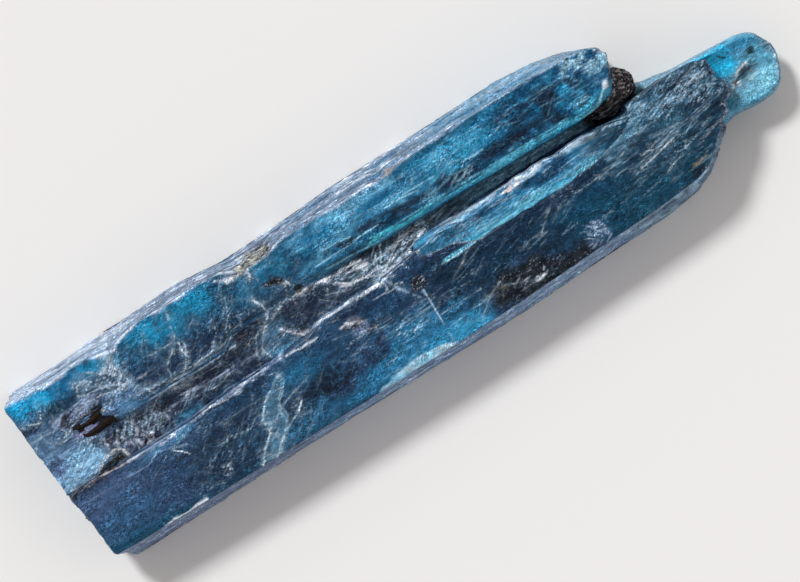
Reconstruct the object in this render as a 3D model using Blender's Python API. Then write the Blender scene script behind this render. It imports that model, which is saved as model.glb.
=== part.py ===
"""Kyanite blade cluster: flat parallel kyanite crystals grown side by side, with grains of mica.

Frame: +X runs along the blades, from the broken end to the rounded tip, and +Z is up, away from the
flat underside. The origin is the middle of the bounding box's base. Lengths are in millimetres up to
solid(), which turns them into Blender's metres.

A blade is a loft over rails. A rail is a line of (x, y, z) points that runs along the blade, such as
an edge, a ledge or a foot, and a blade's rails are listed once round its cross-section.
"""

import math
import random

import bmesh
import bpy
from mathutils import Matrix, Vector

MM = 0.001
MERGE = 0.002  # corners closer than this are one

# Driving dimensions.
HALF_LENGTH = 40.0  # half the cluster, end to end
RUN_OUT = 1.2  # how far a blade is lofted past the break, before the break cuts it
START = -HALF_LENGTH - RUN_OUT
SEAM = 0.32  # parting between neighbouring crystals
TIP_TOP = 3.6  # upper face of the low middle blade that ends in the tip
BED = TIP_TOP + SEAM  # what lies on the tip blade starts here
FRONT_TOP = 6.0  # front edge of the front blade's face
RIDGE_TOP = 6.5  # back edge of the front blade's face
INNER_TOP = 6.35  # edge of the back blade along the sunken blade
BACK_TOP = 6.9  # crest of the back blade
BACK_EDGE_TOP = 6.5  # upper edge of the back blade's sloping flank
STEP_AT = -28.7  # transverse step in the back blade's face
STEP_RUN = 0.2  # half the length over which the face drops there
STEP_DROP = 0.4
BREAK_AT = -39.1  # where the broken end crosses Y = 0
BREAK_TURN = math.radians(5.6)  # the broken end's turn about Z from square

KYANITE_DEEP = (0.020, 0.085, 0.150, 1.0)
KYANITE_BRIGHT = (0.030, 0.210, 0.340, 1.0)
KYANITE_PALE = (0.120, 0.420, 0.560, 1.0)
MICA_BLACK = (0.012, 0.011, 0.010, 1.0)
MICA_BROWN = (0.050, 0.028, 0.014, 1.0)


# ---------------------------------------------------------------- scene, materials, objects


def clear_scene():
    for obj in list(bpy.data.objects):
        bpy.data.objects.remove(obj)


def collection(name):
    made = bpy.data.collections.new(name)
    bpy.context.scene.collection.children.link(made)
    return made


def material(name, colour, roughness):
    made = bpy.data.materials.new(name)
    made.use_nodes = True
    shader = made.node_tree.nodes["Principled BSDF"]
    shader.inputs["Base Color"].default_value = colour
    shader.inputs["Roughness"].default_value = roughness
    shader.inputs["Metallic"].default_value = 0.0
    return made


def solid(name, bm, group, finish=None):
    """Makes an object of a bmesh that is in millimetres."""
    bmesh.ops.remove_doubles(bm, verts=bm.verts, dist=MERGE)
    bmesh.ops.dissolve_degenerate(bm, edges=bm.edges, dist=MERGE)
    bmesh.ops.triangulate(bm, faces=bm.faces, quad_method="SHORT_EDGE")
    bmesh.ops.recalc_face_normals(bm, faces=bm.faces)
    bmesh.ops.scale(bm, vec=(MM, MM, MM), verts=bm.verts)
    mesh = bpy.data.meshes.new(name)
    bm.to_mesh(mesh)
    bm.free()
    obj = bpy.data.objects.new(name, mesh)
    group.objects.link(obj)
    if finish:
        mesh.materials.append(finish)
    return obj


def cutter(name, bm):
    obj = solid(name, bm, CUTTERS)
    obj.hide_render = True
    obj.display_type = "WIRE"
    return obj


def cut(obj, tool):
    step = obj.modifiers.new(tool.name, "BOOLEAN")
    step.operation = "DIFFERENCE"
    step.solver = "EXACT"
    step.object = tool


# ---------------------------------------------------------------- rails and lofts


def at(rail, x):
    """(y, z) of a rail at x, straight from point to point."""
    if x <= rail[0][0]:
        return rail[0][1:]
    for (xa, ya, za), (xb, yb, zb) in zip(rail, rail[1:]):
        if x <= xb:
            share = (x - xa) / (xb - xa)
            return ya + (yb - ya) * share, za + (zb - za) * share
    return rail[-1][1:]


def level(line, z, aside=0.0):
    """A rail at one height, over an (x, y) line or to one side of it."""
    return [(x, y + aside, z) for x, y in line]


def follow(line, heights, aside=0.0, drop=0.0):
    """A rail over an (x, y) line whose height comes from a list of (x, z)."""
    profile = [(x, z, 0.0) for x, z in heights]
    return [(x, y + aside, at(profile, x)[0] - drop) for x, y in line]


def stations_of(*rails):
    return sorted({round(point[0], 3) for rail in rails for point in rail})


def side_at(foot, edge, z, away):
    """A rail at height z that keeps the distance away from the side face between foot and edge."""
    rail = []
    for x in stations_of(foot, edge):
        foot_y, foot_z = at(foot, x)
        edge_y, edge_z = at(edge, x)
        share = (z - foot_z) / (edge_z - foot_z)
        rail.append((x, foot_y + (edge_y - foot_y) * share + away, z))
    return rail


def crease(front, back, share, lift, wander, seed, pitch=5.0):
    """A long crease on a face: a share of the way from front to back, wandering as cleavage does."""
    draw = random.Random(seed)
    end = min(front[-1][0], back[-1][0])
    stops = [max(front[0][0], back[0][0])]
    while stops[-1] < end - pitch:
        stops.append(stops[-1] + pitch * draw.uniform(0.6, 1.5))
    stops[-1] = end
    rail = []
    for x in stops:
        front_y, front_z = at(front, x)
        back_y, back_z = at(back, x)
        reach = wander * min(1.0, abs(back_y - front_y) / 4.0)
        y = front_y + (back_y - front_y) * share + draw.uniform(-reach, reach)
        z = front_z + (back_z - front_z) * share + lift * draw.uniform(0.4, 1.0)
        rail.append((x, y, z))
    return rail


def ledge(front, back, share, step, seed, run=0.22):
    """Two creases side by side, the second higher by step: one cleavage ledge along a face."""
    low = crease(front, back, share, 0.0, 0.35, seed)
    high = [(x, y + run, z + step) for x, y, z in low]
    return [low, high]


def flank_ledge(foot, edge, share, proud, seed):
    """Two rails on a side face, the lower one standing proud: one cleavage ledge along the side."""
    draw = random.Random(seed)
    rise = 0.12
    lower, upper = [], []
    for x in stations_of(foot, edge):
        foot_y, foot_z = at(foot, x)
        edge_y, edge_z = at(edge, x)
        part = share + draw.uniform(-0.04, 0.04)
        y = foot_y + (edge_y - foot_y) * part
        z = foot_z + (edge_z - foot_z) * part
        lower.append((x, y + proud * draw.uniform(0.5, 1.0), z))
        upper.append((x, y, z + rise))
    return [lower, upper]


def loft(rails):
    """A closed bmesh through rails that all span the same length."""
    bm = bmesh.new()
    sections = []
    for x in stations_of(*rails):
        sections.append([bm.verts.new((x, *at(rail, x))) for rail in rails])
    for here, after in zip(sections, sections[1:]):
        for i in range(len(rails)):
            j = (i + 1) % len(rails)
            bm.faces.new((here[i], here[j], after[j], after[i]))
    bm.faces.new(list(reversed(sections[0])))
    bm.faces.new(sections[-1])
    return bm


def upright_loft(front, back, low, high):
    """A loft with upright sides between two (x, y) lines."""
    return loft([level(front, low), level(front, high), level(back, high), level(back, low)])


def break_off(bm, set_back=0.0, tilt=0.0):
    """Cuts a blade off at the broken end, set back from the furthest crystal and leaning by tilt."""
    turn = Matrix.Rotation(BREAK_TURN, 3, "Z") @ Matrix.Rotation(tilt, 3, "Y")
    found = bmesh.ops.bisect_plane(
        bm,
        geom=[*bm.verts, *bm.edges, *bm.faces],
        plane_co=Vector((BREAK_AT + set_back, 0.0, TIP_TOP)),
        plane_no=turn @ Vector((-1.0, 0.0, 0.0)),
        clear_outer=True,
    )
    rim = [part for part in found["geom_cut"] if isinstance(part, bmesh.types.BMEdge)]
    bmesh.ops.holes_fill(bm, edges=rim)


def block(size, place, turn=0.0, lean=0.0, dip=0.0):
    """A box leaned sideways, dipped lengthways and then turned about Z, all in degrees."""
    bm = bmesh.new()
    bmesh.ops.create_cube(bm, size=1.0)
    bmesh.ops.scale(bm, vec=size, verts=bm.verts)
    for angle, axis in ((lean, "X"), (dip, "Y"), (turn, "Z")):
        bmesh.ops.rotate(bm, matrix=Matrix.Rotation(math.radians(angle), 3, axis), verts=bm.verts)
    bmesh.ops.translate(bm, vec=place, verts=bm.verts)
    return bm


def lump(size, place, seed, turn=0.0, detail=1, roughness=0.16):
    """An angular grain: a ball of few faces whose corners are pushed in and out."""
    draw = random.Random(seed)
    bm = bmesh.new()
    bmesh.ops.create_icosphere(bm, subdivisions=detail, radius=0.5)
    for corner in bm.verts:
        corner.co *= 1.0 + draw.uniform(-roughness, roughness)
    bmesh.ops.scale(bm, vec=size, verts=bm.verts)
    bmesh.ops.rotate(bm, matrix=Matrix.Rotation(math.radians(turn), 3, "Z"), verts=bm.verts)
    bmesh.ops.translate(bm, vec=place, verts=bm.verts)
    return bm


# ---------------------------------------------------------------- lines of the cluster from above

# Back edge of the front blade's face, along the sunken blade, the crevice and the black grain.
RIDGE_LINE = [
    (START, -2.4), (-33.0, -2.3), (-24.9, -2.1), (-21.0, -1.6), (-15.5, -1.4), (-11.7, -0.9),
    (-10.6, -0.35), (-3.2, 0.0), (1.0, 0.75), (6.2, 1.6), (15.7, 1.9), (20.0, 1.95),
    (23.2, 1.7), (25.1, 2.3), (27.4, 2.55), (30.8, 2.7), (33.2, 2.5), (35.0, 1.9),
]
# Front edge of the front blade's face, and its ragged slant up to the tip.
FRONT_LINE = [
    (START, -9.5), (-31.5, -9.5), (-22.1, -9.4), (-12.6, -9.2), (-3.2, -8.95), (6.2, -8.65),
    (15.7, -8.1), (23.2, -7.7), (27.0, -7.3), (28.6, -6.8), (30.4, -5.3), (32.0, -3.9),
    (33.4, -2.4), (35.0, -0.2),
]
FRONT_FOOT_LINE = [
    (START, -9.65), (-37.5, -9.65), (-36.6, -10.6), (-31.5, -10.45), (-22.1, -10.15), (-12.6, -9.95),
    (-3.2, -9.85), (6.2, -9.75), (15.7, -9.25), (23.2, -8.95), (27.0, -8.35), (28.8, -7.5),
    (30.9, -5.9), (32.6, -4.4), (33.7, -3.1), (35.0, -1.0),
]
# Edge of the back blade along the sunken blade and the crevice, and round its blunt end.
INNER_LINE = [
    (START, 1.55), (-28.0, 1.6), (-19.6, 1.65), (-17.8, 2.8), (-10.0, 3.1), (-3.2, 3.25),
    (15.7, 3.2), (21.3, 3.15), (23.0, 3.4), (24.3, 4.1), (25.2, 5.4), (25.65, 6.7),
]
# Upper edge of the back blade's outer flank, with a chipped notch at each dip.
OUTER_LINE = [
    (START, 7.9), (-33.0, 7.9), (-28.6, 7.35), (-25.4, 8.15), (-18.3, 8.3), (-15.8, 8.1),
    (-15.3, 7.3), (-11.2, 7.45), (-10.2, 8.0), (-3.2, 8.1), (0.4, 8.35), (1.5, 7.8),
    (2.8, 8.3), (10.0, 8.9), (21.3, 9.0), (24.0, 8.8), (25.2, 8.3), (25.65, 7.5),
]
OUTER_FOOT_LINE = [
    (START, 8.9), (-31.5, 9.0), (-24.0, 9.35), (-21.0, 9.55), (-16.0, 9.3), (-7.0, 9.8),
    (-3.2, 10.1), (6.2, 10.3), (15.7, 10.63), (19.4, 10.35), (22.0, 9.85), (24.3, 8.95),
    (25.4, 8.35), (25.65, 7.8),
]
# The two edges of the low middle blade, up to its rounded tip.
TIP_FRONT_LINE = [
    (START, -5.4), (-20.0, -5.1), (0.0, -5.0), (20.0, -4.6), (30.0, -4.0), (33.6, -4.0),
    (36.0, -4.25), (37.6, -4.1), (38.7, -3.6), (39.4, -2.7), (39.85, -1.5), (HALF_LENGTH, -0.9),
]
TIP_BACK_LINE = [
    (START, 1.15), (-28.0, 1.2), (-20.0, 1.25), (-17.6, 2.4), (-10.0, 2.75), (-3.2, 2.9),
    (15.7, 2.85), (21.3, 2.8), (23.3, 3.0), (24.5, 3.5), (25.5, 4.3), (26.4, 4.1), (27.2, 3.4),
    (28.7, 3.35), (29.9, 3.0), (34.5, 2.85), (37.0, 2.7), (38.2, 2.4), (39.2, 1.8),
    (39.8, 0.9), (HALF_LENGTH, 0.3),
]
# The pale splinter that lies along the crevice.
SPLINTER_FRONT_LINE = [
    (0.9, 0.1), (4.3, -0.45), (6.4, -1.3), (15.7, -1.25), (19.4, -0.9), (22.4, 0.0), (24.2, 0.95),
]
SPLINTER_BACK_LINE = [(0.9, 0.55), (6.2, 1.5), (10.0, 1.75), (20.0, 1.85), (23.0, 1.5), (24.2, 1.3)]
SPLINTER_BED = 4.9
SPLINTER_TOP = 6.85


# ---------------------------------------------------------------- low middle blade, with the tip


def tip_blade(group, finish):
    """The low blade between and under the others. Its rounded end stands out past them."""
    top = [(START, TIP_TOP), (36.0, TIP_TOP), (38.0, 3.4), (39.2, 3.0), (39.8, 2.5), (HALF_LENGTH, 2.1)]
    under = [(START, 0.0), (38.4, 0.0), (39.4, 0.25), (HALF_LENGTH, 0.8)]
    front, back = TIP_FRONT_LINE, TIP_BACK_LINE
    top_front = follow(front, top, aside=0.55)
    top_back = follow(back, top, aside=-0.55)
    faces = [
        crease(top_front, top_back, share, -0.2, 0.3, seed, pitch=7.0)
        for seed, share in enumerate((0.16, 0.34, 0.55, 0.78), start=11)
    ]
    rails = [
        follow(front, under, aside=0.5),
        level(front, 1.4),
        follow(front, top, aside=0.12, drop=0.6),
        top_front,
        *faces,
        top_back,
        follow(back, top, aside=-0.12, drop=0.6),
        level(back, 1.5),
        follow(back, under, aside=-0.45),
    ]
    bm = loft(rails)
    break_off(bm, set_back=0.45, tilt=math.radians(-5))
    return solid("tip_blade", bm, group, finish)


def tip_seat():
    """What the front blade leaves free for the low middle blade: its outline with a seam round it."""
    front = [(x, y - SEAM) for x, y in TIP_FRONT_LINE]
    back = [(x, y + SEAM) for x, y in TIP_BACK_LINE]
    return cutter("tip_seat", upright_loft(front, back, -1.0, BED))


# ---------------------------------------------------------------- front blade


def front_blade_sides():
    foot = level(FRONT_FOOT_LINE, 0.0)
    edge = level(FRONT_LINE, FRONT_TOP)
    ridge = level(RIDGE_LINE, RIDGE_TOP)
    ridge_foot = level(RIDGE_LINE, 0.0, aside=0.12)
    return foot, edge, ridge, ridge_foot


def front_blade(group, finish):
    """The broad front blade, whose flat face fills half of the cluster's upper side."""
    foot, edge, ridge, ridge_foot = front_blade_sides()
    face = [
        crease(edge, ridge, 0.10, 0.10, 0.2, 21),
        *ledge(edge, ridge, 0.27, 0.10, 22),
        crease(edge, ridge, 0.46, 0.02, 0.3, 23),
        *ledge(edge, ridge, 0.62, 0.10, 24),
        crease(edge, ridge, 0.82, 0.10, 0.3, 25),
    ]
    flank = [*flank_ledge(foot, edge, 0.22, -0.20, 26), *flank_ledge(foot, edge, 0.62, -0.24, 27)]
    bm = loft([foot, *flank, edge, *face, ridge, ridge_foot])
    break_off(bm, tilt=math.radians(3))
    blade = solid("front_blade", bm, group, finish)
    cut(blade, tip_seat())
    cut(blade, splinter_seat())
    splinter_the_end(blade)
    flake_the_face(blade)
    step_the_break(blade, "front", ((-8.9, 1.2, 3.4, 3.2, 0.5, -8), (-5.2, 4.4, 2.8, 1.6, 0.35, 6)))
    flake_the_underside(blade, "front", ((-22.0, -8.2, 26.0, 1.6, 1.0), (9.0, -7.0, 30.0, 2.2, -0.8)))
    return blade


def splinter_the_end(blade):
    """Breaks the slanting end into long splinters, each ending at its own place and height."""
    end = 36.0
    splinters = (
        # x where it ends, y there, width, height left
        (31.6, -5.1, 0.9, 2.6), (32.5, -4.2, 0.7, 4.6), (33.0, -3.3, 0.8, 5.3), (34.1, -2.4, 0.7, 4.4),
        (33.3, -1.6, 0.9, 5.6), (34.4, -0.7, 0.7, 4.9), (33.6, 0.2, 0.9, 5.8), (34.2, 1.1, 0.8, 5.0),
        (33.2, 2.1, 1.3, 5.5),
    )
    for i, (x, y, width, height) in enumerate(splinters):
        length = end - x + 3.0
        height_cut = RIDGE_TOP + 1.0 - height
        place = (x + length / 2, y, height + height_cut / 2)
        cut(blade, cutter(f"splinter_end_{i}", block((length, width, height_cut), place, turn=8.0, lean=6.0)))


def flake_the_face(blade):
    """Takes wedge-shaped flakes off the face, which leaves ledges along and across the grain."""
    flakes = (
        # x, y, length, width, depth, turn, lean, dip
        (27.4, -1.4, 12.0, 2.2, 0.30, 11, 12, 1.5), (30.0, 0.9, 8.0, 1.6, 0.30, 14, -10, 2.5),
        (29.6, -3.6, 7.0, 1.7, 0.40, 17, 13, 3.0), (24.0, -4.8, 13.0, 1.8, 0.25, 7, -9, 1.5),
        (10.5, -6.2, 13.0, 1.9, 0.20, 1, 10, -1.2), (-4.5, -3.3, 15.0, 1.7, 0.18, 2, -8, 1.0),
        (-18.0, -3.2, 12.0, 1.5, 0.20, -1, 11, -1.0), (-27.0, -7.6, 16.0, 1.6, 0.15, 0, 9, 0.8),
        (-34.0, -3.0, 8.0, 1.2, 0.20, -2, -12, -1.8), (2.0, -7.4, 9.0, 1.4, 0.30, -3, 12, 1.5),
    )
    thick = 2.0
    for i, (x, y, length, width, depth, turn, lean, dip) in enumerate(flakes):
        place = (x, y, RIDGE_TOP - depth + thick / 2)
        cut(blade, cutter(f"face_flake_{i}", block((length, width, thick), place, turn, lean, dip)))


def step_the_break(blade, name, steps):
    """Sets parts of the broken end back, as low steps in the fracture."""
    thick = 2.0
    turn = math.degrees(BREAK_TURN)
    for i, (y, z, width, height, depth, dip) in enumerate(steps):
        break_x = BREAK_AT - y * math.tan(BREAK_TURN)
        place = (break_x + depth - thick / 2, y, z)
        cut(blade, cutter(f"{name}_break_{i}", block((thick, width, height), place, turn, dip=dip)))


def flake_the_underside(blade, name, flakes):
    """Takes long flakes off the underside, so that the blade rests on what is left between them."""
    depth, thick = 0.35, 2.0
    for i, (x, y, length, width, turn) in enumerate(flakes):
        place = (x, y, depth - thick / 2)
        cut(blade, cutter(f"{name}_under_{i}", block((length, width, thick), place, turn, lean=5.0)))


# ---------------------------------------------------------------- back blade


def back_blade_sides():
    foot = level(OUTER_FOOT_LINE, 0.0)
    edge = level(OUTER_LINE, BACK_EDGE_TOP)
    inner_edge = level(INNER_LINE, INNER_TOP)
    inner_foot = level(INNER_LINE, 0.0, aside=0.1)
    return foot, edge, inner_edge, inner_foot


def lowered_beyond_step(rail):
    """Lowers a rail between the transverse step and the broken end."""
    from_x, to_x = STEP_AT - STEP_RUN, STEP_AT + STEP_RUN
    low = [(x, y, z - STEP_DROP) for x, y, z in rail if x < from_x]
    high = [point for point in rail if point[0] > to_x]
    low_y, low_z = at(rail, from_x)
    return [*low, (from_x, low_y, low_z - STEP_DROP), (to_x, *at(rail, to_x)), *high]


def back_blade(group, finish):
    """The long back blade, the highest of them, with one blunt rounded end."""
    foot, edge, inner_edge, inner_foot = back_blade_sides()
    crest = []
    for x, y, z in inner_edge:
        edge_y = at(edge, x)[0]
        crest.append((x, min(y + 0.62, (y + edge_y) / 2), BACK_TOP))
    crest, edge, inner_edge = (lowered_beyond_step(rail) for rail in (crest, edge, inner_edge))
    face = [
        crease(crest, edge, 0.30, -0.04, 0.25, 31),
        *ledge(crest, edge, 0.52, 0.07, 32),
        crease(crest, edge, 0.80, 0.05, 0.2, 33),
    ]
    flank = [*flank_ledge(foot, edge, 0.28, 0.26, 34), *flank_ledge(foot, edge, 0.68, 0.22, 35)]
    bm = loft([inner_foot, inner_edge, crest, *face, edge, *reversed(flank), foot])
    break_off(bm, tilt=math.radians(-3))
    blade = solid("back_blade", bm, group, finish)
    flake_the_underside(blade, "back", ((-14.0, 8.6, 30.0, 1.4, 0.6), (15.0, 5.4, 20.0, 1.8, -0.5)))
    step_the_break(blade, "back", ((7.6, 2.0, 3.4, 3.4, 0.45, 7), (3.0, 3.6, 3.2, 2.2, 0.3, -6)))
    chip_the_flank(blade)
    return blade


def chip_the_flank(blade):
    """Takes chips and one long cleavage flake off the outer flank and the blunt end."""
    chips = (
        # x, y, z, length, turn, lean
        (-13.2, 8.6, 6.6, 4.0, 2, 40), (1.7, 9.0, 6.7, 2.2, 3, 40), (-35.5, 9.4, 4.0, 8.0, 1, 12),
        (14.0, 11.2, 3.4, 22.0, 0, 8), (-24.0, 8.7, 7.2, 5.0, 4, 35),
    )
    across = 1.4
    for i, (x, y, z, length, turn, lean) in enumerate(chips):
        cut(blade, cutter(f"flank_chip_{i}", block((length, across, across), (x, y, z), turn, lean)))


# ---------------------------------------------------------------- sunken blade and splinter


def sunken_blade(group, finish):
    """The narrow blade sunk between front and back. Towards the tip it sinks to floor the crevice."""
    _, _, ridge, ridge_foot = front_blade_sides()
    _, _, inner_edge, inner_foot = back_blade_sides()
    end = 21.6
    tops = [
        (START, 5.75), (-34.0, 5.85), (-28.5, 5.5), (-19.0, 5.6), (-12.0, 6.0), (-4.0, 5.8),
        (1.0, 5.3), (8.0, 4.7), (end, 4.5),
    ]
    profile = [(x, z, 0.0) for x, z in tops]
    stations = [x for x in stations_of(ridge, inner_edge, profile) if x <= end]
    front_low, front_high, hollow, back_high, back_low = [], [], [], [], []
    for x in stations:
        top = at(profile, x)[0]
        front_y = at(side_at(ridge_foot, ridge, top, SEAM), x)[0]
        back_y = at(side_at(inner_foot, inner_edge, top, -SEAM), x)[0]
        front_low.append((x, at(side_at(ridge_foot, ridge, BED, SEAM), x)[0], BED))
        front_high.append((x, front_y, top - 0.12))
        hollow.append((x, front_y + (back_y - front_y) * 0.45, top - 0.05))
        back_high.append((x, back_y, top))
        back_low.append((x, at(side_at(inner_foot, inner_edge, BED, -SEAM), x)[0], BED))
    face = [
        crease(front_high, hollow, 0.5, 0.12, 0.2, 41, pitch=3.0),
        hollow,
        crease(hollow, back_high, 0.5, -0.12, 0.2, 42, pitch=3.0),
    ]
    bm = loft([front_low, front_high, *face, back_high, back_low])
    break_off(bm, set_back=0.12)
    return solid("sunken_blade", bm, group, finish)


def splinter_blade(group, finish):
    """The pale splinter of crystal let into the front blade's back edge, beside the crevice."""
    front, back = SPLINTER_FRONT_LINE, SPLINTER_BACK_LINE
    edge_front = level(front, SPLINTER_TOP - 0.45, aside=0.05)
    edge_back = level(back, SPLINTER_TOP - 0.35, aside=-0.1)
    crest = []
    for x in stations_of(edge_front, edge_back):
        front_y, back_y = at(edge_front, x)[0], at(edge_back, x)[0]
        crest.append((x, back_y - (back_y - front_y) * 0.28, SPLINTER_TOP))
    face = [crease(edge_front, crest, 0.35, 0.05, 0.15, 51, pitch=3.0)]
    bm = loft([level(front, SPLINTER_BED), edge_front, *face, crest, edge_back, level(back, SPLINTER_BED)])
    return solid("splinter_blade", bm, group, finish)


def splinter_seat():
    """What the front blade leaves free for the splinter: its outline with a seam, open to the back."""
    line = [(x, y - SEAM) for x, y in SPLINTER_FRONT_LINE]
    first, last = line[0], line[-1]
    front = [(first[0] - SEAM, first[1]), *line, (last[0] + SEAM, last[1])]
    back = [(x, 3.4) for x, _ in front]
    return cutter("splinter_seat", upright_loft(front, back, SPLINTER_BED - SEAM, BACK_TOP + 1.0))


# ---------------------------------------------------------------- grains of mica


def black_grain(group, finish):
    """The black grain wedged between the back blade's blunt end and the front blade."""
    size, place = (3.5, 3.7, 3.6), (25.1, 3.95, 4.95)
    grain = solid("black_grain", lump(size, place, seed=73, detail=2, roughness=0.13), group, finish)
    far = 12.0
    back_side = [(x, y - SEAM) for x, y in INNER_LINE if x > 15.0]
    back_side.append((INNER_LINE[-1][0] + SEAM, INNER_LINE[-1][1]))
    beyond = [(x, far) for x, _ in back_side]
    cut(grain, cutter("clear_of_back", upright_loft(back_side, beyond, -1.0, BACK_TOP + 2.0)))
    front_side = [(x, y + SEAM + 0.14) for x, y in RIDGE_LINE if 15.0 < x < 31.0]
    before = [(x, -far) for x, _ in front_side]
    cut(grain, cutter("clear_of_front", upright_loft(before, front_side, -1.0, BACK_TOP + 2.0)))
    cut(grain, cutter("clear_of_tip", block((90.0, 30.0, 4.0), (0.0, 0.0, BED - 2.0))))
    return grain


def brown_flakes(blade, group, finish):
    """Lens-shaped grains of brown mica, each in a pit of its own in the back blade's lower end."""
    lenses = ((-33.6, 3.35, 4.0, 1.3, 4), (-33.0, 2.05, 3.4, 1.0, -9))
    thick, height = 1.1, BACK_TOP - STEP_DROP - 0.35
    for i, (x, y, length, width, turn) in enumerate(lenses, start=1):
        place = (x, y, height)
        pit = (length + 2 * SEAM, width + 2 * SEAM, thick + 2 * SEAM)
        cut(blade, cutter(f"flake_pit_{i}", lump(pit, place, 80 + i, turn, detail=2, roughness=0.0)))
        flake = lump((length, width, thick), place, 90 + i, turn, detail=2, roughness=0.06)
        solid(f"brown_flake_{i}", flake, group, finish)


# ---------------------------------------------------------------- the cluster

clear_scene()
CLUSTER = collection("kyanite_blade_cluster")
CUTTERS = collection("cutters")

deep = material("kyanite_deep", KYANITE_DEEP, 0.30)
bright = material("kyanite_bright", KYANITE_BRIGHT, 0.28)
pale = material("kyanite_pale", KYANITE_PALE, 0.25)
black = material("mica_black", MICA_BLACK, 0.45)
brown = material("mica_brown", MICA_BROWN, 0.50)

tip_blade(CLUSTER, pale)
front_blade(CLUSTER, deep)
back = back_blade(CLUSTER, bright)
sunken_blade(CLUSTER, deep)
splinter_blade(CLUSTER, pale)
black_grain(CLUSTER, black)
brown_flakes(back, CLUSTER, brown)
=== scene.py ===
"""Looks of the kyanite blade cluster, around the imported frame.

Marks are placed in steps of the chart, lengths are millimetres, and painted colours are 0 to 255.
"""

import math

import bmesh
import bpy
import numpy as np
from mathutils import Matrix, Vector
from mathutils.bvhtree import BVHTree


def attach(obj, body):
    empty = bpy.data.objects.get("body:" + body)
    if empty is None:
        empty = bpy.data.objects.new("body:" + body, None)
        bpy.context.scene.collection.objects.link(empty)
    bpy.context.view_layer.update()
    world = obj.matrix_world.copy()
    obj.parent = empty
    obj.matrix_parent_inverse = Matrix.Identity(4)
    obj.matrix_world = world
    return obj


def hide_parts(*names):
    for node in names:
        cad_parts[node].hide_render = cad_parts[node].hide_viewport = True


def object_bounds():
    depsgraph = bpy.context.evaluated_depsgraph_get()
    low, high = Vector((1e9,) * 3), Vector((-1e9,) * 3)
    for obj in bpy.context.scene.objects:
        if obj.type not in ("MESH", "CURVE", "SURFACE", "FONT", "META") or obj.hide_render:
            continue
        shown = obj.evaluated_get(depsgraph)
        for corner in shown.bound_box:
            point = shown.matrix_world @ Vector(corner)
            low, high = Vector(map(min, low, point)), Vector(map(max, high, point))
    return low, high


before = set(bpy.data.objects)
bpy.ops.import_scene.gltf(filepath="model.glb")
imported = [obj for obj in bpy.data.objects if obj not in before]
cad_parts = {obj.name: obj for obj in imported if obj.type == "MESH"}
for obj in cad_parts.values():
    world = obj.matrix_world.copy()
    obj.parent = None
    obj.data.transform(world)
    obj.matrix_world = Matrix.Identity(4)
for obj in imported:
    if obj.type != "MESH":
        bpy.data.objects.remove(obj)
cad_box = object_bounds()

# ---------------------------------------------------------------- floor, camera and light
# A sheet of matt white paper, far larger than the specimen, lit by one broad lamp from behind the
# blades and by the pale room. The lens looks straight down, turned so that the blades rise to the right.



def put(name, data):
    """Puts something in the scene under a name."""
    made = bpy.data.objects.new(name, data)
    bpy.context.scene.collection.objects.link(made)
    return made


def new_material(name):
    """A material, its nodes and its shader."""
    made = bpy.data.materials.new(name)
    made.use_nodes = True
    return made, made.node_tree, made.node_tree.nodes["Principled BSDF"]


FLOOR_SIDE = 1.6
bm = bmesh.new()
bmesh.ops.create_grid(bm, x_segments=1, y_segments=1, size=FLOOR_SIDE / 2)
bmesh.ops.translate(bm, vec=(0.0, 0.0, -0.00001), verts=bm.verts)
floor_mesh = bpy.data.meshes.new("floor")
bm.to_mesh(floor_mesh)
bm.free()
floor = put("floor", floor_mesh)
paper, _, paper_shader = new_material("paper")
paper_shader.inputs["Base Color"].default_value = (0.80, 0.80, 0.795, 1.0)
paper_shader.inputs["Roughness"].default_value = 0.9
paper_shader.inputs["Specular IOR Level"].default_value = 0.0
floor_mesh.materials.append(paper)

FRAME_WIDTH = 0.07536  # what the lens takes in from side to side, at the blades
LENS_MM = 200.0
SENSOR_MM = 36.0
ROLL = math.radians(-31.0)
LOOK_AT = Vector((-0.00232, -0.00187, 0.004))
camera_data = bpy.data.cameras.new("camera")
camera_data.lens = LENS_MM
camera_data.sensor_width = SENSOR_MM
camera_data.clip_start = 0.01
camera_data.clip_end = 10.0
camera = put("camera", camera_data)
camera.location = LOOK_AT + Vector((0.0, 0.0, FRAME_WIDTH * LENS_MM / SENSOR_MM))
camera.rotation_euler = (0.0, 0.0, ROLL)
bpy.context.scene.camera = camera
bpy.context.scene.view_settings.view_transform = "Standard"

LAMP_FROM = Vector((-0.28, 0.95, 1.0))
lamp_data = bpy.data.lights.new("lamp", "SUN")
lamp_data.energy = 2.46
lamp_data.angle = math.radians(12.0)
lamp_data.color = (0.99, 1.0, 1.0)
lamp = put("lamp", lamp_data)
lamp.rotation_euler = LAMP_FROM.to_track_quat("Z", "Y").to_euler()
room = bpy.data.worlds.new("room")
room.use_nodes = True
room_nodes = room.node_tree
room_light = room_nodes.nodes["Background"]
room_light.inputs["Color"].default_value = (1.0, 0.945, 0.93, 1.0)
heading = room_nodes.nodes.new("ShaderNodeTexCoord")
height = room_nodes.nodes.new("ShaderNodeSeparateXYZ")
overhead = room_nodes.nodes.new("ShaderNodeMapRange")
skyline = room_nodes.nodes.new("ShaderNodeMapRange")
for node, *limits in ((overhead, 0.55, 0.95, 0.75, 0.16), (skyline, 0.05, 0.50, 0.45, 1.14)):
    for name, limit in zip(("From Min", "From Max", "To Min", "To Max"), limits):
        node.inputs[name].default_value = limit
both = room_nodes.nodes.new("ShaderNodeMath")
both.operation = "MULTIPLY"
room_nodes.links.new(heading.outputs["Generated"], height.inputs[0])
room_nodes.links.new(height.outputs["Z"], overhead.inputs["Value"])
room_nodes.links.new(height.outputs["Z"], skyline.inputs["Value"])
room_nodes.links.new(overhead.outputs["Result"], both.inputs[0])
room_nodes.links.new(skyline.outputs["Result"], both.inputs[1])
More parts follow.
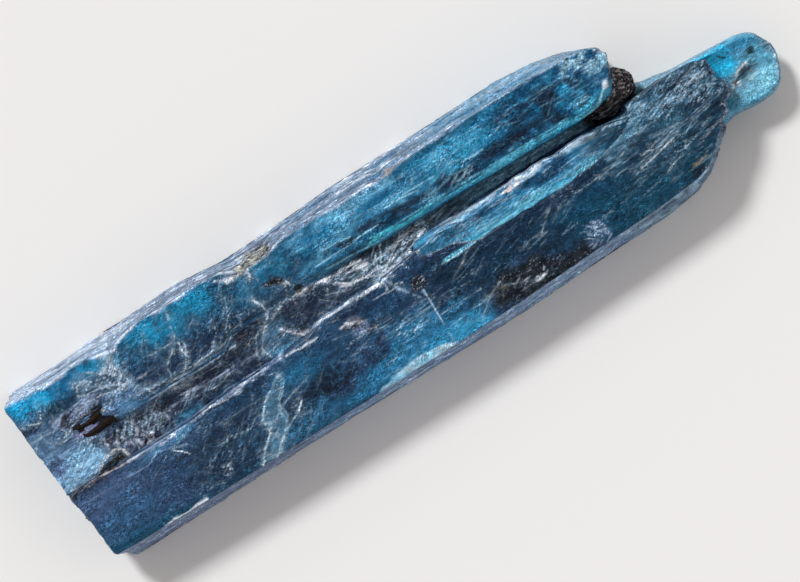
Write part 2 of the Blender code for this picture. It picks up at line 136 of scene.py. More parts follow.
room_nodes.links.new(both.outputs["Value"], room_light.inputs["Strength"])
bpy.context.scene.world = room


# ---------------------------------------------------------------- front blade
# The broad front crystal: one cleavage slab of kyanite, slate blue and full of veils at the broken end,
# black with mica in its middle and torn into fibres at its slanting end. It is grown to its neighbours.

MM = 0.001
STEP = 0.0942  # mm. Marks are placed on a ruled chart: u along the blades, v across them to the front
MIDDLE_U, MIDDLE_V = 33.5, -25.0  # the chart lines that pass over the cluster's middle


def shade(colour):
    """A colour given as 0 to 255, turned into light values. An array holds light values already."""
    if not isinstance(colour, tuple):
        return colour
    shares = np.array(colour) / 255.0
    return np.where(shares <= 0.04045, shares / 12.92, ((shares + 0.055) / 1.055) ** 2.4)


def noise(a, b, seed):
    """Smooth random numbers from -1 to 1 over a plane, that change over one unit."""
    col, row = np.floor(a).astype(np.int64), np.floor(b).astype(np.int64)
    da, db = a - col, b - row
    da, db = da * da * (3.0 - 2.0 * da), db * db * (3.0 - 2.0 * db)
    total = np.zeros(len(a))
    for i in (0, 1):
        for j in (0, 1):
            hashed = (col + i) * 374761393 + (row + j) * 668265263 + seed * 1446651
            hashed = (hashed ^ (hashed >> 13)) * 1274126177
            value = ((hashed ^ (hashed >> 16)) & 65535) / 32767.5 - 1.0
            total += value * (da if i else 1.0 - da) * (db if j else 1.0 - db)
    return total


def fade(value, low, high):
    """0 up to the low value, 1 from the high one, and a smooth rise between them."""
    share = np.clip((value - low) / (high - low), 0.0, 1.0)
    return share * share * (3.0 - 2.0 * share)


class Skin:
    """The fine surface of one crystal while it is worked and painted, with its place on the chart."""

    def __init__(self, node, along, across, seed, keep=0.2, hidden=None, reach=0.42):
        self.node, self.hidden = node, hidden
        self.mesh = self.remeshed(along, across, keep)
        self.at, self.out = self.points()
        self.meet_neighbours(reach)
        self.at, self.out = self.points()
        up = self.upper(self.out[:, 2])
        self.soften((1.0 - up) * fade(self.at[:, 2], 0.1, 0.5) * (1.0 - self.grown), rounds=36)
        self.soften(up, rounds=4)
        x, y, z = self.at.T
        self.u, self.v = x / STEP + MIDDLE_U, MIDDLE_V - y / STEP
        self.up = self.upper(self.out[:, 2] + 0.6 * self.near)
        self.side = (fade(-self.out[:, 2], -0.55, -0.25) * fade(self.out[:, 2], -0.9, -0.6)
                     * (1.0 - self.grown))
        # s runs on from the face down over the side, so that grain carries on round the edge.
        self.s = self.v - np.sign(self.out[:, 1]) * (z.max() - z) / STEP
        self.colour = np.zeros((len(x), 3))
        self.lift = np.zeros(len(x))
        self.coarse = np.zeros(len(x))
        u, s = self.u, self.s
        self.fray = self.cloud(19, 13, seed, octaves=4, thin=0.58)
        self.fleck = noise(u / 2.2, s / 1.5, seed + 11)
        self.net = fade(-np.abs(self.cloud(26, 15, seed + 13, octaves=4, thin=0.6)), -0.10, -0.01)
        self.web = fade(-np.abs(self.cloud(15, 12, seed + 15, octaves=3, turn=35, thin=0.6)), -0.12, -0.01)
        self.gaps = noise(u / 13, s / 7, seed + 17)
        self.wu = u + 4.0 * noise(u / 30, s / 17, seed + 21) + 1.6 * noise(u / 8, s / 5, seed + 22)
        self.wv = self.v + 2.0 * noise(u / 26, s / 20, seed + 23) + 1.0 * noise(u / 7, s / 5, seed + 24)

    def remeshed(self, along, across, keep):
        """A copy of the solid cut into even cells, and thinned where it can't be seen closely."""
        bm = bmesh.new()
        bm.from_mesh(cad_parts[self.node].data)
        bmesh.ops.remove_doubles(bm, verts=bm.verts, dist=0.0000005)
        bmesh.ops.scale(bm, vec=(across / along, 1.0, 1.0), verts=bm.verts)
        mesh = bpy.data.meshes.new(self.node + "_skin")
        bm.to_mesh(mesh)
        bm.free()
        cells = self.finished(mesh, "REMESH", mode="VOXEL", voxel_size=across * MM)
        flat = np.empty(len(cells.vertices) * 3)
        cells.vertex_normals.foreach_get("vector", flat)
        normals = flat.reshape(-1, 3)
        turned = 0.8  # how squarely a face must be turned away to count as unseen
        unseen = normals[:, 2] < -turned
        if self.hidden is not None:
            unseen |= normals @ np.array(self.hidden) > turned
        if keep < 1.0:
            share = 1.0 - unseen.mean() * (1.0 - keep)
            cells = self.finished(cells, "DECIMATE", np.flatnonzero(unseen), ratio=share)
        cells.transform(Matrix.Diagonal((along / across, 1.0, 1.0, 1.0)))
        return cells

    def finished(self, mesh, kind, chosen=None, **settings):
        """The mesh after one modifier, which works on the chosen points only if some are given."""
        rough = put(self.node + "_rough", mesh)
        modifier = rough.modifiers.new("work", kind)
        for name, value in settings.items():
            setattr(modifier, name, value)
        if chosen is not None:
            rough.vertex_groups.new(name="chosen").add(chosen.tolist(), 1.0, "REPLACE")
            modifier.vertex_group = "chosen"
        bpy.context.view_layer.update()
        made = bpy.data.meshes.new_from_object(rough.evaluated_get(bpy.context.evaluated_depsgraph_get()))
        bpy.data.objects.remove(rough)
        bpy.data.meshes.remove(mesh)
        return made

    def upper(self, facing):
        """1 on the upper face, from how squarely each point faces up and how high it lies."""
        z = self.at[:, 2]
        return fade(facing, 0.45, 0.8) * fade(z, z.max() - 2.5, z.max() - 1.5)

    def points(self):
        """Where the points are, in millimetres, and which way the surface faces at each."""
        flat = np.empty(len(self.mesh.vertices) * 3)
        self.mesh.vertices.foreach_get("co", flat)
        at = flat.reshape(-1, 3) / MM
        self.mesh.vertex_normals.foreach_get("vector", flat)
        return at, flat.reshape(-1, 3).copy()

    def move(self):
        """Puts the mesh where the points have been worked to."""
        self.mesh.vertices.foreach_set("co", (self.at * MM).ravel())
        self.mesh.update()

    def soften(self, mask, rounds):
        """Rounds off the sharp ledges of a flank where the mask is set."""
        ends = np.empty(len(self.mesh.edges) * 2, dtype=np.int32)
        self.mesh.edges.foreach_get("vertices", ends)
        a, b = ends.reshape(-1, 2).T
        count = len(self.at)
        met = np.bincount(a, minlength=count) + np.bincount(b, minlength=count)
        for _ in range(rounds):
            for k in range(3):
                place = self.at[:, k]
                total = np.bincount(a, place[b], count) + np.bincount(b, place[a], count)
                self.at[:, k] += (total / met - place) * mask * 0.6
        self.move()
        self.at, self.out = self.points()

    def meet_neighbours(self, reach, bite=0.07):
        """Grows the skin across the hair gap, to where crystals that grew together bite into each other."""
        corners, faces = [], []
        for name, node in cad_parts.items():
            if name != self.node and node.type == "MESH":
                start = len(corners)
                corners += [vertex.co / MM for vertex in node.data.vertices]
                faces += [[start + i for i in face.vertices] for face in node.data.polygons]
        others = BVHTree.FromPolygons(corners, faces)
        shaded, facing = 0.8, 0.35  # mm that a seam's shade reaches, and how squarely a neighbour is faced
        self.grown, self.near = np.zeros(len(self.at)), np.zeros(len(self.at))
        for i, (point, out) in enumerate(zip(self.at.tolist(), self.out.tolist())):
            place, _, _, gap = others.find_nearest(point, max(reach, shaded))
            if place is None or gap < 0.001:
                continue
            self.near[i] = 1.0 - gap / (2.0 * shaded)
            if gap > reach:
                continue
            way = [(p - q) / gap for p, q in zip(place, point)]
            if sum(w * n for w, n in zip(way, out)) > facing:
                self.at[i] += np.array(way) * (gap / 2 + bite)
                self.grown[i] = 1.0
        self.move()

    def cloud(self, long, wide, seed, octaves=3, turn=0.0, thin=0.5):
        """Random light and dark, from -1 to 1, in shapes this many steps long and wide."""
        c, s = math.cos(math.radians(turn)), math.sin(math.radians(turn))
        a, b = (self.u * c - self.s * s) / long, (self.s * c + self.u * s) / wide
        total = np.zeros(len(a))
        for k in range(octaves):
            c, s = math.cos(0.4 + 0.7 * k) * 2.0**k, math.sin(0.4 + 0.7 * k) * 2.0**k
            total += noise(a * c - b * s + 5.3 * k, b * c + a * s + 9.1 * k, seed + k) * thin**k
        return total / (1.0 - thin**octaves) * (1.0 - thin) * 1.5

    def oval(self, u, v, long, wide, turn=0.0, soft=0.8):
        """1 inside an oval, with half its length and width given, fading to 0 across a frayed border."""
        c, s = math.cos(math.radians(turn)), math.sin(math.radians(turn))
        du, dv = self.wu - u, self.wv - v
        reach = np.hypot((du * c - dv * s) / long, (dv * c + du * s) / wide) + self.fray * 0.35 * soft
        return fade(-reach, -1.0 - soft / 2, -1.0 + soft / 2) * self.up

    def away(self, corners, loose):
        """How far each point lies from a line through the corners."""
        pu = self.u + (self.wu - self.u) * loose
        pv = self.v + (self.wv - self.v) * loose
        nearest = np.full(len(pu), 1e9)
        for (ua, va), (ub, vb) in zip(corners, corners[1:]):
            du, dv = ub - ua, vb - va
            share = np.clip(((pu - ua) * du + (pv - va) * dv) / (du * du + dv * dv), 0.0, 1.0)
            nearest = np.minimum(nearest, np.hypot(pu - ua - share * du, pv - va - share * dv))
        return nearest

    def line(self, width, *corners, loose=0.35, broken=0.5):
        """1 along a line that swells, thins and breaks as it goes."""
        swell = width * (1.0 + 0.6 * self.gaps)
        core = np.clip((1.0 - self.away(corners, loose) / swell) * 1.6, 0.0, 1.0)
        return core * (1.0 - broken + broken * fade(self.fray, -0.8, 0.2)) * self.up

    def crack(self, strength, width, *corners, colour=(206, 221, 231)):
        """A healed crack: a broken pale line, a faint veil beside it, dust, and threads that leave it."""
        away = self.away(corners, 0.5)
        patchy = fade(self.fray + 0.4 * self.fleck, -0.9, 0.1)
        veil = fade(-away, -5.0 * width, 0.0) * (0.35 + 0.65 * self.web) * 0.42
        self.paint(veil * strength * self.up, (89, 129, 155))
        core = np.clip((1.0 - away / (0.52 * width * (1.0 + 0.8 * self.gaps))) * 1.6, 0.0, 1.0) * patchy
        dust = fade(-away, -4.0 * width, 0.0) * fade(self.fleck + self.fray * 0.5, 0.2, 0.8) * 0.35
        threads = fade(-away, -9.0 * width, -1.0) * self.net * fade(self.fleck, -0.6, 0.4) * 0.45
        swell = 0.35 + 0.65 * fade(noise(self.u / 9, self.v / 7, 77), -0.4, 0.5)
        mask = np.maximum(np.maximum(core, dust), threads) * strength * swell * self.up
        self.paint(mask, colour, lift=0.04, coarse=0.3)

    def field(self, soft, *corners, up=True):
        """1 inside an outline, fading to 0 over a soft and frayed border."""
        inside = np.zeros(len(self.u), dtype=bool)
        for (ua, va), (ub, vb) in zip(corners, corners[1:] + corners[:1]):
            if va != vb:
                crosses = (self.wv >= va) != (self.wv >= vb)
                inside ^= crosses & (self.wu < ua + (self.wv - va) * (ub - ua) / (vb - va))
        nearest = self.away(corners + corners[:1], 1.0)
        depth = np.where(inside, nearest, -nearest) + self.fray * soft * 0.5
        mask = fade(depth, -soft / 2, soft / 2)
        return mask * self.up if up else mask

    def paint(self, mask, colour, lift=0.0, coarse=0.0):
        """Lays a colour over the skin through a mask, and raises or sinks the surface with it."""
        share = np.clip(mask, 0.0, 1.0)[:, None]
        self.colour = self.colour * (1.0 - share) + shade(colour) * share
        self.lift += mask * lift
        self.coarse = np.maximum(self.coarse, mask * coarse)

    def spot(self, colour, share, u, v, long, wide, turn=0.0, soft=0.8, **relief):
        """Paints an oval, with this share of the colour laid over the old one."""
        self.paint(self.oval(u, v, long, wide, turn, soft) * share, colour, **relief)

    def patch(self, colour, share, soft, *corners, up=True, **relief):
        """Paints inside an outline."""
        self.paint(self.field(soft, *corners, up=up) * share, colour, **relief)

    def stroke(self, colour, share, width, *corners, loose=0.35, broken=0.5, **relief):
        """Paints along a line."""
        self.paint(self.line(width, *corners, loose=loose, broken=broken) * share, colour, **relief)

    def spots(self, colour, share, *places, **relief):
        """Paints several ovals alike, each given by its middle, its length and its width."""
        for place in places:
            self.spot(colour, share, *place, **relief)

    def strokes(self, colour, share, width, *lines, **relief):
        """Paints along several lines alike."""
        for corners in lines:
            self.stroke(colour, share, width, *corners, **relief)

    def ends(self):
        """1 on the faces that look along the blade."""
        return fade(np.abs(self.out[:, 0]), 0.45, 0.75)

    def snapped(self, light, dark):
        """Where the blade broke across: low steps and chips that run over the end face."""
        flat = self.ends() * (1.0 - self.grown)
        z = self.at[:, 2] / STEP
        slab = 0.6 * noise(self.v / 50, z / 5, 31) + 0.4 * noise(self.v / 14, z / 2.4, 32)
        chip = noise(self.v / 6, z / 6, 33) + 0.5 * noise(self.v / 3, z / 3, 34)
        self.paint(flat * 0.92, mixed(0.5 + 0.6 * slab + 0.35 * chip, dark, light), coarse=0.6)
        self.lift = self.lift * (1.0 - flat) + flat * (slab * 0.12 + chip * 0.06 - 0.10)

    def finish(self, slot, material):
        """Makes the piece of a worked skin, with its colours and its grain on its points."""
        deepest, highest = -0.3, 0.12  # mm that relief may sink and rise
        relief = np.clip(self.lift, deepest, highest) * (1.0 - self.grown * (1.0 - self.up))
        self.at += self.out * relief[:, None]
        low, high = (np.array(corner) / MM for corner in cad_box)
        self.at = np.clip(self.at, low, high)
        self.move()
        tone = np.ones((len(self.at), 4), dtype=np.float32)
        tone[:, :3] = np.clip(self.colour, 0.0, 1.0)
        self.mesh.attributes.new("tone", "FLOAT_COLOR", "POINT").data.foreach_set("color", tone.ravel())
        coarse = np.clip(self.coarse, 0.0, 1.0).astype(np.float32)
        self.mesh.attributes.new("coarse", "FLOAT", "POINT").data.foreach_set("value", coarse)
        self.mesh.shade_smooth()
        piece = put(self.node.replace("_blade", "_crystal").replace("_grain", "_mica"), self.mesh)
        self.mesh.materials.clear()
        self.mesh.materials.append(material)
        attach(piece, "root")
        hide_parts(self.node)


def mixed(share, first, second):
    """A colour for each point, from the first at share 0 to the second at share 1."""
    share = np.clip(share, 0.0, 1.0)[:, None]
    return shade(first) * (1.0 - share) + shade(second) * share


def furrows(skin, deep, seed, turn=0.0, close=1.0):
    """The long fine furrows and low steps of a cleavage face, as a depth on each point."""
    fine = skin.cloud(90 / close, 5 / close, seed, octaves=3, turn=turn, thin=0.6)
    steps = skin.cloud(220, 26, seed + 9, octaves=2, turn=turn)
    return (fine * 0.5 - 0.3) * deep + steps * deep * 0.3


def crust(skin, seed, size=3.0):
    """Crumbs packed side by side, from 0 to 1."""
    return np.clip(0.5 + 0.9 * skin.cloud(size * 1.3, size, seed, octaves=2), 0.0, 1.0)


def socket(group, name, way):
    """Gives a node group a named way in or out for a number."""
    group.interface.new_socket(name=name, in_out=way, socket_type="NodeSocketFloat")


def join(nodes, kind, *links, **values):
    """Adds a node, sets its values and links what feeds it: (socket, source or value)."""
    node = nodes.nodes.new(kind)
    for name, value in values.items():
        setattr(node, name, value)
    for target, source in links:
        if isinstance(source, bpy.types.NodeSocket):
            nodes.links.new(source, node.inputs[target])
        else:
            node.inputs[target].default_value = source
    return node


def sums(nodes, operation, first, second=0.0):
    """The result of one operation on two values."""
    return join(nodes, "ShaderNodeMath", (0, first), (1, second), operation=operation).outputs[0]


def times(nodes, first, second):
    """Two values multiplied."""
    return sums(nodes, "MULTIPLY", first, second)


def plus(nodes, first, second):
    """Two values added."""
    return sums(nodes, "ADD", first, second)


def ramp(nodes, value, low, high, to_low=0.0, to_high=1.0):
    """The value carried smoothly from one range to another."""
    links = (("Value", value), ("From Min", low), ("From Max", high), ("To Min", to_low), ("To Max", to_high))
    return join(nodes, "ShaderNodeMapRange", *links, interpolation_type="SMOOTHSTEP").outputs["Result"]


def tint(nodes, share, under, over, blend="MIX"):
    """One colour laid over another by a share."""
    links = ((0, share), (6, under), (7, over))
    return join(nodes, "ShaderNodeMix", *links, data_type="RGBA", blend_type=blend).outputs[2]


def spread(group, given):
    """The piece's own coordinates in millimetres, gently bent, turned about Z, and scaled to the grain."""
    place = group.nodes.new("ShaderNodeTexCoord")
    sized = join(group, "ShaderNodeVectorMath", (0, place.outputs["Object"]), (1, (1.0 / MM,) * 3),
                 operation="MULTIPLY").outputs[0]
    bend = join(group, "ShaderNodeTexNoise", ("Vector", sized), ("Scale", 0.28), ("Detail", 1.0))
    bent = join(group, "ShaderNodeVectorMath", (0, bend.outputs["Color"]), (1, (1.5, 1.5, 1.5)), (2, sized),
                operation="MULTIPLY_ADD").outputs[0]
    turned = join(group, "ShaderNodeVectorRotate", ("Vector", bent), ("Angle", given.outputs["Turn"]),
                  rotation_type="Z_AXIS")
    long = sums(group, "DIVIDE", 1.0, given.outputs["Long mm"])
    wide = sums(group, "DIVIDE", 1.0, given.outputs["Wide mm"])
    size = join(group, "ShaderNodeCombineXYZ", (0, long), (1, wide), (2, wide))
    return join(group, "ShaderNodeVectorMath", (0, turned.outputs[0]), (1, size.outputs[0]),
                operation="MULTIPLY").outputs[0]


def make_grain():
    """Fine grain in the crystal: Value, about 0.5, in shapes this long and wide."""
    group = bpy.data.node_groups.new("grain", "ShaderNodeTree")
    for name in ("Long mm", "Wide mm", "Turn", "Detail"):
        socket(group, name, "INPUT")
    socket(group, "Value", "OUTPUT")
    given, made = group.nodes.new("NodeGroupInput"), group.nodes.new("NodeGroupOutput")
    field = join(group, "ShaderNodeTexNoise", ("Vector", spread(group, given)), ("Scale", 1.0),
                 ("Detail", given.outputs["Detail"]), ("Roughness", 0.6))
    group.links.new(field.outputs["Fac"], made.inputs["Value"])
    return group


def make_veins():
    """Thin curling cracks and veils: Mask, 1 along the middle of each."""
    group = bpy.data.node_groups.new("veins", "ShaderNodeTree")
    for name in ("Long mm", "Wide mm", "Turn", "Thin"):
        socket(group, name, "INPUT")
    socket(group, "Mask", "OUTPUT")
    given, made = group.nodes.new("NodeGroupInput"), group.nodes.new("NodeGroupOutput")
    field = join(group, "ShaderNodeTexNoise", ("Vector", spread(group, given)), ("Scale", 1.0),
                 ("Detail", 1.5), ("Roughness", 0.5), ("Distortion", 0.1))
    away = sums(group, "ABSOLUTE", sums(group, "SUBTRACT", field.outputs["Fac"], 0.5))
    where = join(group, "ShaderNodeTexNoise", ("Vector", spread(group, given)), ("Scale", 0.6),
                 ("Detail", 1.0))
    near = ramp(group, away, 0.0, given.outputs["Thin"], 1.0, 0.0)
    mask = sums(group, "MULTIPLY", near, ramp(group, where.outputs["Fac"], 0.48, 0.62))
    group.links.new(mask, made.inputs["Mask"])
    return group


GRAIN, VEINS = make_grain(), make_veins()


def placed(nodes, group, output, **values):
    """A shared group placed in a material with its own values."""
    node = nodes.nodes.new("ShaderNodeGroup")
    node.node_tree = group
    for name, value in values.items():
        node.inputs[name.replace("_", " ")].default_value = value
    return node.outputs[output]


def grain(nodes, long, wide, turn, detail):
    """The shared grain, in shapes this long and wide in millimetres."""
    return placed(nodes, GRAIN, "Value", Long_mm=long, Wide_mm=wide, Turn=turn, Detail=detail)


KYANITE_IOR = 1.72
GLINT, VEIL = (0.18, 0.40, 0.56, 1.0), (0.16, 0.34, 0.48, 1.0)  # light values, for the shader
PIT, CRUMB = (0.012, 0.016, 0.026, 1.0), (0.42, 0.53, 0.66, 1.0)


def kyanite(name, roughness, fibres, veins, dust=1.0):
    """Crystal: the painted tone broken up by fibres, dust, crumbs, glints and thin cracks of its own."""
    finish, nodes, shader = new_material(name)
    tone = join(nodes, "ShaderNodeAttribute", attribute_name="tone").outputs["Color"]
    coarse = join(nodes, "ShaderNodeAttribute", attribute_name="coarse").outputs["Fac"]
    fibre = grain(nodes, 2.8, 0.22, 0.0, 5.0)
    slant = grain(nodes, 1.5, 0.20, -0.5, 4.0)
    mottle = grain(nodes, 0.85, 0.60, 0.0, 4.0)
    speck = grain(nodes, 0.36, 0.11, 0.12, 2.0)
    stroke = grain(nodes, 0.32, 0.12, -0.85, 1.0)
    crumb = grain(nodes, 0.34, 0.17, -0.5, 5.0)
    rising = placed(nodes, VEINS, "Mask", Long_mm=5.5, Wide_mm=1.5, Turn=-0.65, Thin=0.010)
    falling = placed(nodes, VEINS, "Mask", Long_mm=4.2, Wide_mm=1.4, Turn=0.35, Thin=0.009)

    worn = ramp(nodes, grain(nodes, 4.0, 1.3, -0.25, 2.0), 0.36, 0.64, 0.45, 1.55)
    bright = 0.0
    for value, share in ((slant, 0.14 + 0.34 * fibres), (speck, 0.60 * dust), (stroke, 0.50 * dust)):
        bright = plus(nodes, times(nodes, ramp(nodes, value, 0.28, 0.72, -1.0, 1.0), share), bright)
    bright = times(nodes, bright, worn)
    for value, share in ((fibre, 0.55 * fibres), (mottle, 0.36)):
        bright = plus(nodes, times(nodes, ramp(nodes, value, 0.28, 0.72, -1.0, 1.0), share), bright)
    light = sums(nodes, "POWER", 2.0, bright)
    grey = join(nodes, "ShaderNodeCombineColor", (0, light), (1, light), (2, light)).outputs[0]
    colour = tint(nodes, 1.0, tone, grey, "MULTIPLY")
    glint = times(nodes, ramp(nodes, speck, 0.64, 0.71), ramp(nodes, mottle, 0.40, 0.62, 0.05, 0.42 * dust))
    glint = times(nodes, glint, worn)
    colour = tint(nodes, glint, colour, GLINT)
    vein = times(nodes, sums(nodes, "MAXIMUM", rising, falling), veins)
    colour = tint(nodes, vein, colour, VEIL)
    loose = ramp(nodes, coarse, 0.05, 0.5)
    cluster = grain(nodes, 1.1, 0.5, -0.4, 2.0)
    reach = times(nodes, plus(nodes, coarse, ramp(nodes, cluster, 0.35, 0.65, -0.5, 0.5)), 0.12)
    white = times(nodes, ramp(nodes, plus(nodes, crumb, reach), 0.66, 0.71), loose)
    pit = sums(nodes, "SUBTRACT", plus(nodes, 1.0, reach), crumb)
    pit = times(nodes, ramp(nodes, pit, 0.66, 0.73), loose)
    colour = tint(nodes, times(nodes, pit, 0.75), colour, PIT)
    colour = tint(nodes, times(nodes, white, 0.6), colour, CRUMB)
    nodes.links.new(colour, shader.inputs["Base Color"])
    rough = ramp(nodes, mottle, 0.3, 0.7, roughness - 0.05, roughness + 0.10)
    rough = plus(nodes, rough, times(nodes, coarse, 0.25))
    nodes.links.new(rough, shader.inputs["Roughness"])
    shader.inputs["IOR"].default_value = KYANITE_IOR
    shader.inputs["Specular IOR Level"].default_value = 0.12
    relief = plus(nodes, times(nodes, fibre, 0.8), times(nodes, speck, 0.25))
    relief = plus(nodes, relief, times(nodes, white, 0.3))
    relief = times(nodes, relief, ramp(nodes, coarse, 0.0, 1.0, 0.35, 2.0))
    bump = join(nodes, "ShaderNodeBump", ("Height", relief), ("Strength", 0.7), ("Distance", 0.00006))
    nodes.links.new(bump.outputs["Normal"], shader.inputs["Normal"])
    return finish


INK = (10, 18, 32)
NAVY = (20, 40, 64)
DUSK = (40, 52, 82)
# near white, for frosted crystal and for painted highlights along edges and on glints
FROST_AND_HIGHLIGHT = (220, 230, 240)
SOOT = (16, 16, 20)


def silver_flank(skin, seed, way, light, middle, dark):
    """The torn fibrous side of a blade, bright where its fibres catch the light."""
    skin.side = skin.side * fade(skin.out[:, 1] * way, 0.10, 0.40)
    streak = skin.cloud(50, 3.4, seed, octaves=4, turn=3.0, thin=0.7)
    tuft = skin.cloud(26, 20, seed + 5, octaves=4, thin=0.65)
    knot = skin.cloud(8, 10, seed + 7, octaves=3, turn=14, thin=0.7)
    down = skin.v + 0.22 * (skin.s - skin.v)
    a, b = skin.u + 1.2 * down, down - 0.14 * skin.u
    seen = (0.6 * noise(a / 12, b / 4, seed + 31) + 0.7 * noise(a / 4.5, b / 2.2, seed + 32)
            + 0.5 * noise(a / 1.8, b / 1.4, seed + 33))
    skin.paint(skin.side, mixed(0.5 + tuft * 0.4 + knot * 0.2 + streak * 0.45 + seen * 0.25, dark, middle),
               coarse=0.35)
    skin.paint(skin.side * fade(streak * 0.85 + tuft * 0.45 + knot * 0.15 + seen * 0.5, 0.15, 0.85) * 0.85,
               light)
    skin.paint(skin.side * fade(-streak * 0.8 - knot * 0.3 - seen * 0.5, 0.5, 1.0) * 0.7, shade(dark) * 0.45)
    skin.lift += skin.side * (streak * 0.05 + tuft * 0.10 + knot * 0.06 - 0.10)


def torn_face(skin, torn):
    """A face torn into fibres that rise to the back, the same on the two crystals it runs over."""
    fibre = skin.cloud(44, 4.2, 140, octaves=4, turn=-13, thin=0.7)
    strand = skin.cloud(80, 11, 145, octaves=3, turn=-11)
    grit = skin.cloud(8, 5, 118, octaves=3, thin=0.75)
    skin.paint(torn * 0.92,
               mixed(0.45 + strand * 0.55 + fibre * 0.3 + grit * 0.2, (10, 32, 50), (34, 78, 104)))
    shine = torn * fade(fibre + strand * 0.3 + grit * 0.3, 0.22, 0.95) * (0.85 - 0.6 * fade(skin.v, -16, 12))
    skin.paint(shine, (146, 176, 198), lift=0.05, coarse=0.35)
    skin.paint(torn * fade(-fibre - grit * 0.3, 0.45, 0.9) * 0.6, (10, 20, 34), lift=-0.06)


def crevice_shade(skin):
    """Painted shade at the foot of the crevice by the black mica, where no light reaches the crystal."""
    deep = fade(-skin.at[:, 2], -5.6, -5.0)
    there = (fade(skin.u, 246, 258) * fade(-skin.u, -312, -300) * fade(skin.v, -70, -62)
             * fade(-skin.v, 42, 48))
    skin.paint(there * np.maximum(deep, 1.0 - skin.up) * 0.97, (12, 12, 14))


def cracks(skin, *rows):
    """Several cracks, each given by its strength, its width and its corners."""
    for strength, width, *corners in rows:
        skin.crack(strength, width, *corners)


def joint_cracks(skin):
    """The healed cracks that cross from one crystal into the next, so each is drawn on all of them."""
    cracks(skin, (0.9, 1.8, (-108, -104), (-110, -92), (-118, -85), (-120, -72), (-115, -63), (-118, -50),
                  (-137, -40), (-146, -24)),
           (0.8, 1.5, (-92, -76), (-85, -70), (-90, -57), (-107, -50), (-127, -42), (-138, -27), (-135, -14)))
    skin.crack(1.0, 2.8, (-78, -56), (-62, -56), (-48, -53), (-38, -43), (-30, -38), (-15, -36), (4, -27),
               colour=(215, 218, 226))
    skin.crack(1.0, 2.6, (-112, -34), (-102, -22), (-92, -14), (-84, -18), (-66, -23), colour=(212, 215, 226))
    cracks(skin, (0.9, 2.0, (-266, -30), (-254, -38), (-240, -42), (-214, -44), (-180, -47), (-160, -52)),
           (0.6, 1.4, (-232, -40), (-228, -60), (-214, -72)),
           (0.6, 1.4, (-222, -41), (-206, -60), (-205, -84), (-202, -104)),
           (0.7, 1.5, (-30, -38), (6, -44), (30, -50), (72, -58), (84, -72), (132, -92)),
           (0.9, 2.0, (-10, -25), (14, -28), (34, -32), (52, -37), (74, -41), (110, -44)),
           (0.9, 1.4, (-66, -23), (-44, -22), (-20, -24), (0, -26), (8, -10), (20, 8)),
           (0.6, 2.6, (-276, -106), (-274, -84), (-268, -62), (-252, -44)),
           (0.7, 1.6, (-388, -63), (-365, -63), (-343, -62)),
           (0.6, 1.5, (-352, -66), (-343, -50), (-336, -38), (-312, -36), (-300, -46)),
           (0.8, 1.6, (-374, -3), (-342, -4), (-330, -14), (-312, -14), (-309, -2)))


def stray_cracks(skin, seed, count, low, high, lean=(20, 65), strength=0.45):
    """Short cracks scattered between two corners of the chart, most of them rising to the right."""
    random = np.random.default_rng(seed)
    for _ in range(count):
        cu, cv = random.uniform(low, high)
        turn = math.radians(random.uniform(*lean)) * (1.0 if random.random() < 0.8 else -0.6)
        corners = [(cu, cv)]
        for _ in range(3):
            long = random.uniform(3.0, 13.0)
            turn += random.uniform(-0.35, 0.35)
            cu, cv = cu + long * math.cos(turn), cv - long * math.sin(turn)
            corners.append((cu, cv))
        skin.crack(strength * random.uniform(0.4, 1.0), random.uniform(0.7, 1.3), *corners)


def hairs(skin, seed, count, low, high, lean, strength):
    """Fine straight threads of light between two corners of the chart, leaning nearly one way."""
    random = np.random.default_rng(seed)
    for _ in range(count):
        cu, cv = random.uniform(low, high)
        turn, long = math.radians(random.normal(lean, 7.0)), random.uniform(6.0, 26.0)
        end = (cu + long * math.cos(turn), cv - long * math.sin(turn))
        thread = skin.line(0.75, (cu, cv), end, loose=0.4, broken=0.8)
        skin.paint(thread * strength * random.uniform(0.4, 1.0), (156, 190, 212), lift=0.02)


front = Skin("front_blade", along=0.15, across=0.105, seed=101, keep=0.12, hidden=(0.0, 1.0, 0.0))
u, v = front.u, front.v
level = 6.45 - 0.001 * (u + 20).clip(0.0, None)
level = level - fade(v, -2, 16) * (0.04 + 0.0006 * (u + 220).clip(0.0, None))
trough = fade(v, -2, 3) * fade(-v, -20, -13) * fade(-u, -120, -96) * fade(front.at[:, 2], 5.8, 6.0)
front.at[:, 2] += (level - front.at[:, 2]).clip(0.0, None) * trough
broad = front.cloud(80, 34, 110, octaves=4, thin=0.65)
close = front.fray
rough = front.cloud(8, 5, 118, octaves=3, thin=0.75)
front.colour = mixed(0.45 + 0.45 * broad + 0.35 * close + 0.2 * rough, (18, 34, 58), (48, 74, 106))
front.paint(fade(front.cloud(60, 22, 122), 0.0, 0.9) * 0.35, (20, 74, 104))
front.paint(fade(front.cloud(50, 26, 126) + fade(-u, 180, 300) * 0.6, 0.0, 0.9) * 0.5, DUSK)
front.paint(fade(-u, 215, 262) * front.up * 0.35, (44, 72, 104))
front.patch((76, 92, 128), 0.4, 18, (-390, 2), (-320, 6), (-300, 24), (-340, 36), (-386, 34))
